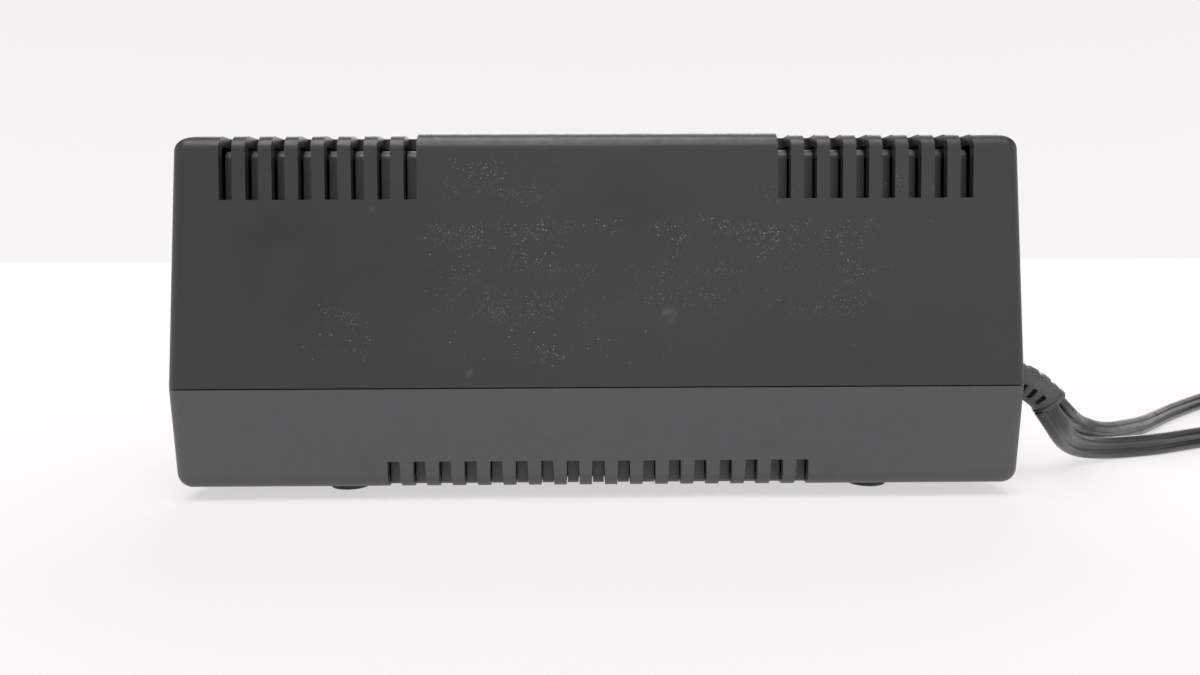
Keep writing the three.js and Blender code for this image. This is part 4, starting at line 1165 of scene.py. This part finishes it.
def housing_block(name, outline, direction, inset, edge, side, arc_steps=10, side_steps=7):
    """The housing's outline drawn along X, with its side edges rounded as well."""
    radius = max(edge - inset, 1.2)
    roll = max(side - inset, 0.9)
    reach = WIDTH / 2 - inset
    angles = [math.pi / 2 * i / side_steps for i in range(side_steps + 1)]
    stations = [(reach - roll + roll * math.sin(a), roll * (1 - math.cos(a))) for a in angles]
    stations = [(-x, d) for x, d in reversed(stations)] + stations
    rings = []
    for x, depth in stations:
        corners = inset_outline(outline, [inset + depth] * len(outline))
        curve = rounded_outline(corners, max(radius - depth, 0.3), arc_steps)
        rings.append([lean((x, y, z), direction) for y, z in curve])
    return add_mesh(name, *loft(rings))


def crown_trim(across, down, steps=12):
    """What is kept where the side walls meet the top: a wide, low rounding on both sides."""
    foot = TOP_Z - down
    shoulder = lean((WIDTH / 2, 0, foot), 1)[0]
    clear = 3
    side = [(shoulder + 2 * clear, 0), (shoulder + clear, foot)]
    for i in range(steps + 1):
        angle = math.pi / 2 * i / steps
        side.append((shoulder - across * (1 - math.cos(angle)), foot + down * math.sin(angle)))
    side.append((shoulder - across, TOP_Z + clear))
    outline = side + [(-x, z) for x, z in reversed(side)]
    return add_mesh("crown_trim", *prism(outline, -DEPTH, DEPTH, along_y))


def top_slot_cutters(slots):
    boxes = []
    for side in (-1, 1):
        for i in range(slots["count"]):
            near = side * (slots["first"] + i * slots["pitch"])
            span = sorted((near, near + side * slots["width"]))
            boxes.append((span, (slots["reach"], DEPTH), (slots["foot"], 2 * TOP_Z)))
    return add_boxes("top_slots", boxes)


def low_slot_cutters(slots):
    """Cutters for the slots that wrap under the rear bottom edge."""
    narrow, wide = LOW_SLOT_WIDTHS
    bodies = []
    for i in range(slots["count"]):
        middle = slots["first"] - i * slots["pitch"] - narrow / 2
        outline = [(middle - narrow / 2, slots["head"]), (middle - wide / 2, 0),
                   (middle + wide / 2, 0), (middle + narrow / 2, slots["head"])]
        bodies.append(prism(outline, slots["reach"], DEPTH, along_y))
    return add_bodies("low_slots", bodies)


def top_baffles(slots, wall):
    """A strip behind each slot that follows it round the corner, on two rails."""
    outer = half_depth_at(slots["foot"]) - BAFFLE["setback"]
    outer_top = half_depth_at(TOP_Z) - BAFFLE["setback"]
    top = TOP_Z - 3.3
    front = slots["reach"] - 3.3
    foot = slots["foot"] - 2.6
    bend = 2.3
    thick = BAFFLE["thickness"]
    arc = [(outer_top - bend + bend * math.cos(a), top - bend + bend * math.sin(a))
           for a in [math.pi / 2 * k / 8 for k in range(9)]]
    strip = [(outer - thick, foot), (outer, foot), *arc, (front, top), (front, top - thick),
             (outer_top - thick - 0.8, top - thick), (outer_top - thick, top - thick - 0.8)]
    bodies = []
    last = slots["first"] + (slots["count"] - 1) * slots["pitch"] + slots["width"]
    for side in (-1, 1):
        span = sorted((side * (slots["first"] - 1), side * (last + 1)))
        bodies.append((box_points(span, (outer - thick + 0.01, half_depth_at(slots["foot"]) - wall + 0.8),
                                  (foot - 0.02, foot + 1.6)), BOX_FACES))
        bodies.append((box_points(span, (front - 0.1, front + 2),
                                  (top - thick - 0.02, TOP_Z - wall + 0.8)), BOX_FACES))
        for i in range(slots["count"]):
            middle = side * (slots["first"] + i * slots["pitch"] + slots["width"] / 2)
            bodies.append(prism(strip, middle - BAFFLE["width"] / 2, middle + BAFFLE["width"] / 2, along_x))
    return add_bodies("top_baffles", bodies)


def low_baffles(slots, wall):
    """Shelves behind the lower slots that block the view inside."""
    outer = half_depth_at(slots["head"]) - BAFFLE["setback"]
    head = slots["head"] + 2.3
    low = FOOT_HEIGHT + 0.35
    front = slots["reach"] - 1
    thick = BAFFLE["thickness"]
    strip = [(outer - thick, head), (outer - thick, low + thick), (front, low + thick), (front, low),
             (outer - 0.6, low), (outer, low + 0.6), (outer, head)]
    last = slots["first"] - (slots["count"] - 1) * slots["pitch"] - LOW_SLOT_WIDTHS[1]
    span = (last - 1, slots["first"] + 1)
    bodies = [(box_points(span, (outer - thick + 0.01, half_depth_at(slots["head"]) - wall + 0.8),
                          (head - 1.6, head + 0.02)), BOX_FACES)]
    for i in range(slots["count"]):
        middle = slots["first"] - i * slots["pitch"] - LOW_SLOT_WIDTHS[0] / 2
        bodies.append(prism(strip, middle - BAFFLE["width"] / 2, middle + BAFFLE["width"] / 2, along_x))
    return add_bodies("low_baffles", bodies)


def rods(name, places, radius, low, high, steps=40):
    bodies = []
    for x, y in places:
        rings = [[(x + a, y + b, z) for a, b, z in circle(radius, h, steps)] for h in (low, high)]
        bodies.append(loft(rings))
    return add_bodies(name, bodies)


def relief_hole():
    rings = [[(x, RELIEF_Y + a, PARTING_Z + b) for a, b, _ in circle(4.5, 0, 48)]
             for x in (-WIDTH, -WIDTH / 2 + 8)]
    return add_mesh("relief_hole", *loft(rings))


def panel_cutters():
    """The overlay's recess, the display's window and the button holes, in the slope's frame."""
    gap = 0.3
    recess = rounded_rectangle((-PANEL_HALF[0] - gap, PANEL_HALF[0] + gap),
                               (-PANEL_HALF[1] - gap, PANEL_HALF[1] + gap), 3)
    tools = [add_mesh("recess", *prism(recess, -1 - gap, 5))]
    window = rounded_rectangle((-WINDOW["u"] - 0.5, WINDOW["u"] + 0.5),
                               (WINDOW["low"] - 0.5, WINDOW["high"] + 0.5), 1)
    holes = [prism(window, -12, -0.5)]
    for u in BUTTONS.values():
        holes.append(prism(button_outline(u, gap, 1.5), -12, -0.5))
    tools.append(add_bodies("panel_holes", holes))
    for tool in tools:
        shift(tool, SLOPE_PLACE)
    return tools


def button_outline(u, margin, radius):
    half_u, half_v = BUTTON_HALF
    return rounded_rectangle((u - half_u - margin, u + half_u + margin),
                             (BUTTON_V - half_v - margin, BUTTON_V + half_v + margin), radius)


class CHARGER_OT_upper_shell(bpy.types.Operator):
    """Upper shell with its raised band, wrapping slots, baffles and panel recess"""
    bl_idname = "charger.upper_shell"
    bl_label = "Upper shell"

    def execute(self, context):
        settings = context.scene.charger_housing
        wall, edge, side = settings.wall / MM, settings.edge_radius / MM, settings.side_radius / MM
        crown = (settings.crown_width / MM, settings.crown_drop / MM)
        shell = housing_block("upper_shell_moulding", UPPER_OUTLINE, 1, 0, edge, side)
        combine(shell, crown_trim(*crown), "INTERSECT")
        in_wall = 0.25
        corners = inset_outline(UPPER_OUTLINE, [1, in_wall, -BAND_RISE, -BAND_RISE, in_wall])
        outline = rounded_outline(corners, edge - in_wall, 12)
        combine(shell, add_mesh("band", *prism(outline, -BAND_WIDTH / 2, BAND_WIDTH / 2, along_x)), "UNION")
        combine(shell, housing_block("room", UPPER_OUTLINE, 1, wall, edge, side, 5, 3), "DIFFERENCE")
        combine(shell, top_slot_cutters(TOP_SLOTS), "DIFFERENCE")
        seam = PARTING_Z + settings.seam / MM / 2
        combine(shell, add_boxes("below", [((-WIDTH, WIDTH), (-WIDTH, WIDTH), (-WIDTH, seam))]), "DIFFERENCE")
        combine(shell, top_baffles(TOP_SLOTS, wall), "UNION", crossing=True)
        for tool in panel_cutters():
            combine(shell, tool, "DIFFERENCE")
        combine(shell, relief_hole(), "DIFFERENCE")
        soften(shell, settings.cut_edge / MM)
        plastic = look("upper_plastic", housing_plastic, tuple(settings.upper_colour), 1.0)
        dress(shell, plastic, stands_for=("upper_shell",))

        posts = rods("upper_bosses", BOSSES, 4, PARTING_Z + 1, TOP_Z, 32)
        room = housing_block("room", UPPER_OUTLINE, 1, 1, edge, side, 5, 3)
        combine(posts, room, "INTERSECT")
        dress(posts, plastic, body="housing")
        return {"FINISHED"}


class CHARGER_OT_lower_shell(bpy.types.Operator):
    """Lower shell with its vents, baffles, lip, front windows and screw wells"""
    bl_idname = "charger.lower_shell"
    bl_label = "Lower shell"

    def execute(self, context):
        settings = context.scene.charger_housing
        wall, edge, side = settings.wall / MM, settings.edge_radius / MM, settings.side_radius / MM
        shell = housing_block("lower_shell_moulding", LOWER_OUTLINE, -1, 0, edge, side)
        combine(shell, housing_block("room", LOWER_OUTLINE, -1, wall, edge, side, 5, 3), "DIFFERENCE")
        combine(shell, low_slot_cutters(LOW_SLOTS), "DIFFERENCE")
        seam = PARTING_Z - settings.seam / MM / 2
        above = [((-WIDTH, WIDTH), (-WIDTH, WIDTH), (seam, 2 * WIDTH))]
        combine(shell, add_boxes("above", above), "DIFFERENCE")
        combine(shell, low_baffles(LOW_SLOTS, wall), "UNION", crossing=True)
        wells = rods("wells", BOSSES, 4.8, FOOT_HEIGHT + 0.5, PARTING_Z - 3)
        combine(wells, housing_block("room", LOWER_OUTLINE, -1, 1, edge, side, 5, 3), "INTERSECT")
        combine(shell, wells, "UNION")
        combine(shell, rods("foot_pockets", FEET, 5.4, 0, FOOT_HEIGHT + 0.7, 56), "DIFFERENCE")
        combine(shell, rods("counterbores", BOSSES, 3.3, 0, 14), "DIFFERENCE")
        combine(shell, rods("screw_holes", BOSSES, 1.9, 10, PARTING_Z + 3, 24), "DIFFERENCE")
        combine(shell, add_boxes("socket_windows", socket_windows()), "DIFFERENCE")
        combine(shell, jack_holes(), "DIFFERENCE")
        combine(shell, relief_hole(), "DIFFERENCE")
        soften(shell, settings.cut_edge / MM)
        # Partly painted light: this colour is lighter than the upper shell's to stand in for the floor's
        # bounce as well as the moulding's own shade.
        plastic = look("lower_plastic", housing_plastic, tuple(settings.lower_colour_with_painted_bounce), 0.35)
        dress(shell, plastic, stands_for=("lower_shell",))
        self.lip(wall, edge, side, plastic)
        return {"FINISHED"}

    @staticmethod
    def lip(wall, edge, side, plastic):
        """The tongue that locates the upper shell, just inside both walls."""
        gap = 0.3
        tongue = housing_block("seam_lip", LOWER_OUTLINE, -1, wall + gap, edge, side, 5, 3)
        height = [((-WIDTH, WIDTH), (-WIDTH, WIDTH), (PARTING_Z - 3.4, PARTING_Z + 2.2))]
        combine(tongue, add_boxes("lip_height", height), "INTERSECT")
        combine(tongue, housing_block("room", LOWER_OUTLINE, -1, 4.1, edge, side, 5, 3), "DIFFERENCE")
        combine(tongue, rods("clear", BOSSES, 4.3, PARTING_Z - 4, PARTING_Z + 5, 32), "DIFFERENCE")
        hole = [[(x, RELIEF_Y + a, PARTING_Z + b) for a, b, _ in circle(6.4, 0, 32)]
                for x in (-WIDTH / 2 - 5, -WIDTH / 2 + 8)]
        combine(tongue, add_mesh("relief_room", *loft(hole)), "DIFFERENCE")
        dress(tongue, plastic, body="housing")


# ---------------------------------------------------------------- front sockets

BOARD_TOP = 13.6
SOCKET_Z = BOARD_TOP + 0.3
SOCKET_HEIGHT = 5.75
SOCKET_DEPTH = 9.8
PIN_PITCH = 2.5
JACKS = {"black": (42, 18.2), "red": (61, 18.2)}


def socket_width(pins):
    return (pins - 1) * PIN_PITCH + 4.9


def pin_sockets():
    """Node name, pin count and middle of each pin socket, from the left."""
    sockets = []
    edge = -82
    for i, pins in enumerate((3, 4, 5, 6, 7)):
        sockets.append((f"balance_socket_{i + 1}", pins, edge + socket_width(pins) / 2))
        edge += socket_width(pins) + 3.2
    return sockets + [("temperature_socket", 3, 21)]


def socket_windows():
    boxes = []
    for _, pins, x in pin_sockets():
        half = socket_width(pins) / 2 + 0.3
        boxes.append(((x - half, x + half), (-DEPTH, -HALF + 8),
                      (SOCKET_Z - 0.3, SOCKET_Z + SOCKET_HEIGHT + 0.3)))
    return boxes


def jack_holes():
    bodies = []
    for x, z in JACKS.values():
        rings = [[(x + a, y, z + b) for a, b, _ in circle(4.3, 0, 40)] for y in (-DEPTH, -HALF + 8)]
        bodies.append(loft(rings))
    return add_bodies("jack_holes", bodies)


class CHARGER_OT_sockets(bpy.types.Operator):
    """Balance and temperature sockets with their pins, and the two output jacks"""
    bl_idname = "charger.sockets"
    bl_label = "Sockets"

    def execute(self, context):
        ivory = look("socket_nylon", moulded, (0.62, 0.58, 0.47), 0.45, 1800, 0.012)
        tin = look("pin_tin", worn_metal, (0.68, 0.66, 0.6), 0.25, (1, 0.1, 1), 0.15)
        for node, pins, x in pin_sockets():
            self.pin_socket(node, pins, x, ivory, tin)
        for name, (x, z) in JACKS.items():
            self.jack(name, x, z)
        return {"FINISHED"}

    @staticmethod
    def pin_socket(node, pins, x, ivory, tin):
        """A shroud open to the front, with its row of pins."""
        half = socket_width(pins) / 2
        mouth = -half_depth_at(SOCKET_Z) + 0.1
        shell = add_boxes(f"{node}_shroud", [((x - half, x + half), (mouth, mouth + SOCKET_DEPTH),
                                              (SOCKET_Z, SOCKET_Z + SOCKET_HEIGHT))])
        top = SOCKET_Z + SOCKET_HEIGHT
        combine(shell, add_boxes("hollow", [((x - half + 0.8, x + half - 0.8), (mouth - 5, mouth + 7.6),
                                             (SOCKET_Z + 0.9, top - 0.9))]), "DIFFERENCE")
        keys = [((x + side * (half - 1.9) - 0.5, x + side * (half - 1.9) + 0.5), (mouth - 5, mouth + 5),
                 (top - 1.2, top + 1)) for side in (-1, 1)]
        combine(shell, add_boxes("key_slots", keys), "DIFFERENCE")
        soften(shell, 0.12)
        dress(shell, ivory, stands_for=(node,))
        level = SOCKET_Z + SOCKET_HEIGHT / 2
        bodies = []
        for i in range(pins):
            at = x + (i - (pins - 1) / 2) * PIN_PITCH
            rings = []
            for y, size in ((mouth + 8, 0.32), (mouth + 2.1, 0.32), (mouth + 1.6, 0.16)):
                rings.append([(at - size, y, level - size), (at + size, y, level - size),
                              (at + size, y, level + size), (at - size, y, level + size)])
            bodies.append(loft(rings))
        contacts = soften(add_bodies(f"{node}_pins", bodies), 0.05)
        dress(contacts, tin, body="housing")

    @staticmethod
    def jack(name, x, z):
        """A round output socket: moulded sleeve and brass ferrule."""
        place = Matrix.Translation((x, -half_depth_at(z), z)) @ Matrix.Rotation(math.pi / 2, 4, "X")
        sleeve = [(2.5, 2.6), (2.75, 2.9), (5.0, 2.9), (5.45, 2.6), (5.6, 2.1), (5.6, 0.3),
                  (4, 0.3), (4, -4.5), (3.6, -4.5), (3.6, -18), (2.5, -18)]
        body = shift(lathe(f"output_socket_{name}_sleeve", sleeve, 64, closed=True), place)
        soften(body, 0.12, angle=40)
        plastic = look(f"jack_{name}", moulded, PLASTICS[name], 0.34)
        dress(body, plastic, stands_for=(f"output_socket_{name}",))
        ferrule = [(2.05, 2.2), (2.2, 2.4), (2.45, 2.4), (2.45, -16), (2.05, -16)]
        lining = shift(lathe(f"output_socket_{name}_ferrule", ferrule, 48, closed=True), place)
        soften(lining, 0.06, angle=40)
        dress(lining, look("jack_brass", worn_metal, (0.7, 0.52, 0.2), 0.22, (1, 0.1, 1), 0.2),
              body="housing")


# ---------------------------------------------------------------- control panel

class CHARGER_OT_panel_parts(bpy.types.Operator):
    """Overlay, display and the four buttons on the sloping front"""
    bl_idname = "charger.panel_parts"
    bl_label = "Control panel"

    def execute(self, context):
        settings = context.scene.charger_panel
        self.overlay(settings)
        self.display()
        for name, u in BUTTONS.items():
            self.button(name, u, settings)
        board = look("board_mask", circuit_board)
        rework("button_board", board, 0.1)
        for i in range(4):
            rework(f"key_switch_{i + 1}", look("switch_body", moulded, (0.012, 0.012, 0.014), 0.35), 0.15)
        return {"FINISHED"}

    @staticmethod
    def overlay(settings):
        """The panel's plate, with a painted trim round the window."""
        u, v = PANEL_HALF
        plate = add_mesh("panel_overlay", *prism(rounded_rectangle((-u, u), (-v, v), 2.7, 8), -1, 0))
        cuts = [prism(rounded_rectangle((-WINDOW["u"] - 0.3, WINDOW["u"] + 0.3),
                                        (WINDOW["low"] - 0.3, WINDOW["high"] + 0.3), 1), -5, 5)]
        cuts += [prism(button_outline(at, 0.3, 1.5), -5, 5) for at in BUTTONS.values()]
        combine(plate, add_bodies("overlay_holes", cuts), "DIFFERENCE")
        shift(plate, SLOPE_PLACE)
        soften(plate, 0.15)
        film = look("panel_film", moulded, tuple(settings.film_colour), 0.4, 1400, 0.012)
        dress(plate, film, stands_for=("control_panel",))

        half, low, high, margin, inset = WINDOW["u"], WINDOW["low"], WINDOW["high"], 1.6, 0.5
        outer = rounded_rectangle((-half - margin, half + margin), (low - margin, high + margin), 2)
        inner = rounded_rectangle((-half - inset, half + inset), (low - inset, high + inset), 1.1)
        rings = [[(a, b, h) for a, b in ring] for ring, h in
                 ((inner, 0.02), (inner, 0.28), (outer, 0.28), (outer, 0.02))]
        trim = shift(add_bodies("window_trim", [loft(rings, closed=True)]), SLOPE_PLACE)
        soften(trim, 0.08)
        paint = look("trim_paint", moulded, (0.3, 0.3, 0.31), 0.35)
        dress(trim, paint, body="housing")

    @staticmethod
    def display():
        """Clear pane, the display's metal surround and its glass."""
        u = WINDOW["u"]
        outline = rounded_rectangle((-u, u), (WINDOW["low"], WINDOW["high"]), 0.8)
        pane = add_mesh("window_pane", *prism(outline, -1, -0.1))
        shift(pane, SLOPE_PLACE)
        soften(pane, 0.12)
        dress(pane, look("window_acrylic", clear_window), stands_for=("display_window",))
        surround = look("display_frame", worn_metal, (0.08, 0.08, 0.085), 0.4, (1, 1, 1), 0.3)
        rework("lcd_module", surround, 0.12)
        level = -(2.5 + BAND_RISE) - 0.35 - 0.75
        outline = rounded_rectangle((-32, 32), (4.7, 20.3), 0.4, 3)
        glass = add_mesh("display_glass", *prism(outline, level, level + 0.3))
        shift(glass, SLOPE_PLACE)
        soften(glass, 0.06)
        dress(glass, look("display_cells", character_display), body="housing")

    @staticmethod
    def button(name, u, settings):
        """A dished cap and the mark on it."""
        dish = settings.key_dish / MM
        levels = [(-5, 1.1), (-3.7, 1.1), (-3.7, 0), (0.75, 0), (1.02, -0.08), (1.2, -0.25), (1.28, -0.5),
                  (1.3, -0.8), (1.3 - dish * 0.55, -1.5), (1.3 - dish, -2.6)]
        rings = []
        for height, margin in levels:
            half_u, half_v = BUTTON_HALF[0] + margin, BUTTON_HALF[1] + margin
            across, along = (u - half_u, u + half_u), (BUTTON_V - half_v, BUTTON_V + half_v)
            outline = rounded_rectangle(across, along, max(1.2 + margin, 0.35))
            rings.append([(a, b, height) for a, b in outline])
        cap = shift(add_mesh(f"button_{name}_cap", *loft(rings)), SLOPE_PLACE)
        soften(cap, 0.1, angle=50)
        colour = settings.stop_colour if name == "stop" else settings.key_colour
        kind = "stop" if name == "stop" else "grey"
        plastic = look(f"key_{kind}", moulded, tuple(colour), 0.5, 1600, 0.012)
        dress(cap, plastic, stands_for=(f"button_{name}",))
        shapes = {
            "stop": [(-1.2, -1.2), (1.2, -1.2), (1.2, 1.2), (-1.2, 1.2)],
            "down": [(0, -1.4), (1.6, 1.2), (-1.6, 1.2)],
            "up": [(-1.6, -1.2), (1.6, -1.2), (0, 1.4)],
            "start": [(-1.2, -1.5), (1.5, 0), (-1.2, 1.5)],
        }
        outline = [(u + a, BUTTON_V + b) for a, b in rounded_outline(shapes[name], 0.25, 4)]
        mark = add_mesh(f"button_{name}_mark", *prism(outline, 1.0, 1.3))
        shift(mark, SLOPE_PLACE)
        soften(mark, 0.06)
        dress(mark, look("mark_ink", painted_mark, (0.75, 0.75, 0.74)), body=f"button_{name}")


# ---------------------------------------------------------------- inner parts

class CHARGER_OT_power_parts(bpy.types.Operator):
    """Board, transformer, capacitors, choke and the other parts inside"""
    bl_idname = "charger.power_parts"
    bl_label = "Power parts"

    def execute(self, context):
        dark = look("part_case", moulded, (0.012, 0.012, 0.014), 0.34)
        metal = look("bare_aluminium", worn_metal, (0.62, 0.63, 0.64), 0.36, (1, 1, 0.08), 0.25)
        rework("main_board", look("board_mask", circuit_board), 0.12)
        rework("transformer_core", look("core_laminations", laminations), 0.3)
        rework("transformer_winding", look("coil_tape", winding_tape), 0.8, 3)
        rework("rectifier_bridge", dark, 0.4)
        rework("heat_sink", metal, 0.2)
        self.capacitors()
        self.fuse()
        self.choke()
        self.buzzer(dark)
        return {"FINISHED"}

    @staticmethod
    def capacitors():
        profile = [(0.5, 0.2), (8.2, 0.2), (8.8, 0.5), (9.0, 1.0), (9.0, 2.2), (8.55, 2.7), (8.55, 3.2),
                   (9.0, 3.7), (9.0, 31.2), (8.8, 31.8), (8.2, 32.0), (7.6, 31.8), (0.5, 31.8)]
        sleeve = look("capacitor_sleeve", moulded, (0.01, 0.012, 0.03), 0.28, 900, 0.01)
        for i, (x, y) in enumerate(((5, 36), (5, 14))):
            can = lathe(f"filter_capacitor_{i + 1}_can", profile, 56)
            shift(can, Matrix.Translation((x, y, SOCKET_Z)))
            depth = (SOCKET_Z + 31.5, SOCKET_Z + 33)
            vent = [((x - 6, x + 6), (y - 0.25, y + 0.25), depth),
                    ((x - 0.25, x + 0.25), (y - 6, y + 6), depth)]
            combine(can, add_boxes("vent_cross", vent), "DIFFERENCE", crossing=True)
            soften(can, 0.1, angle=50)
            dress(can, sleeve, stands_for=(f"filter_capacitor_{i + 1}",))

    @staticmethod
    def fuse():
        """A tube with a cap at each end."""
        profile = [(0.5, -10), (2.3, -10), (2.6, -9.7), (2.6, -4.6), (2.45, -4.5), (2.3, -4.4),
                   (2.3, 4.4), (2.45, 4.5), (2.6, 4.6), (2.6, 9.7), (2.3, 10), (0.5, 10)]
        place = Matrix.Translation((-58, -22, SOCKET_Z + 2.7)) @ Matrix.Rotation(math.pi / 2, 4, "Y")
        fuse = shift(lathe("mains_fuse_tube", profile, 40), place)
        soften(fuse, 0.08, angle=50)
        dress(fuse, look("fuse_cap", worn_metal, (0.6, 0.6, 0.58), 0.25), stands_for=("mains_fuse",))

    @staticmethod
    def choke():
        """A ring core with its wire wound round it as ridges."""
        rings = []
        turns, around = 26, 16
        for k in range(turns * 6):
            angle = 2 * math.pi * k / (turns * 6)
            radius = 3.75 + 0.4 * abs(math.sin(turns * angle / 2))
            ring = []
            for i in range(around):
                a = 2 * math.pi * i / around
                out = 10 + radius * math.cos(a)
                ring.append((32 + out * math.cos(angle), 20 + out * math.sin(angle),
                             SOCKET_Z + 4.2 + radius * math.sin(a)))
            rings.append(ring)
        choke = add_mesh("power_choke_winding", *loft(rings, closed=True))
        choke.data.polygons.foreach_set("use_smooth", [True] * len(choke.data.polygons))
        dress(choke, look("enamelled_wire", worn_metal, (0.62, 0.25, 0.08), 0.3, (1, 1, 1), 0.15),
              stands_for=("power_choke",))

    @staticmethod
    def buzzer(dark):
        """A round can with a sound hole."""
        profile = [(1.2, 6.5), (1.2, 7.8), (1.4, 8.0), (5.6, 8.0), (5.95, 7.7), (6, 7.2),
                   (6, 0.2), (5.8, 0), (1.2, 0)]
        can = shift(lathe("buzzer_can", profile, 48), Matrix.Translation((28, -40, SOCKET_Z)))
        soften(can, 0.1, angle=50)
        dress(can, dark, stands_for=("buzzer",))


class CHARGER_OT_screws(bpy.types.Operator):
    """Four housing screws with cross recesses, in their wells"""
    bl_idname = "charger.screws"
    bl_label = "Screws"

    def execute(self, context):
        steel = look("screw_zinc", worn_metal, (0.5, 0.51, 0.53), 0.3, (1, 1, 1), 0.3)
        profile = [(0.3, 10.55), (1.9, 10.65), (2.6, 10.95), (2.9, 11.5), (2.9, 13.2), (2.8, 13.7),
                   (1.3, 13.7)]
        height = 14.0
        while height < 37:
            profile += [(1.2, height), (1.5, height + 0.45), (1.2, height + 0.9)]
            height += 1.2
        profile += [(0.9, 38.2), (0.1, 39.5)]
        for i, (x, y) in enumerate(BOSSES):
            screw = shift(lathe(f"housing_screw_{i + 1}_turned", profile, 32), Matrix.Translation((x, y, 0)))
            arms = [((x - 1.7, x + 1.7), (y - 0.35, y + 0.35), (9, 12.3)),
                    ((x - 0.35, x + 0.35), (y - 1.7, y + 1.7), (9, 12.3))]
            combine(screw, add_boxes("cross", arms), "DIFFERENCE", crossing=True)
            soften(screw, 0.06, angle=45)
            dress(screw, steel, stands_for=(f"housing_screw_{i + 1}",))
        return {"FINISHED"}


# ---------------------------------------------------------------- sidebar and running order

STEPS = (CHARGER_OT_stage, CHARGER_OT_leads, CHARGER_OT_upper_shell, CHARGER_OT_lower_shell, CHARGER_OT_feet,
         CHARGER_OT_screws, CHARGER_OT_sockets, CHARGER_OT_panel_parts, CHARGER_OT_power_parts)
GROUPS = {"charger_housing": HousingSettings, "charger_panel": PanelSettings,
          "charger_leads": LeadSettings, "charger_stage": StageSettings}


class CHARGER_PT_sidebar(bpy.types.Panel):
    """Settings and steps of the charger"""
    bl_idname = "CHARGER_PT_sidebar"
    bl_label = "Battery charger"
    bl_space_type = "VIEW_3D"
    bl_region_type = "UI"
    bl_category = "Charger"

    def draw(self, context):
        for name in GROUPS:
            group = getattr(context.scene, name)
            column = self.layout.box().column()
            for key in group.bl_rna.properties.keys():
                if key not in ("rna_type", "name"):
                    column.prop(group, key)
        for step in STEPS:
            self.layout.operator(step.bl_idname)


CLASSES = (*GROUPS.values(), *STEPS, CHARGER_PT_sidebar)


def register():
    for item in CLASSES:
        bpy.utils.register_class(item)
    for name, group in GROUPS.items():
        setattr(bpy.types.Scene, name, PointerProperty(type=group))


def unregister():
    for name in GROUPS:
        delattr(bpy.types.Scene, name)
    for item in reversed(CLASSES):
        bpy.utils.unregister_class(item)


def main():
    register()
    for step in STEPS:
        group, name = step.bl_idname.split(".")
        getattr(getattr(bpy.ops, group), name)()


if __name__ == "__main__":
    main()
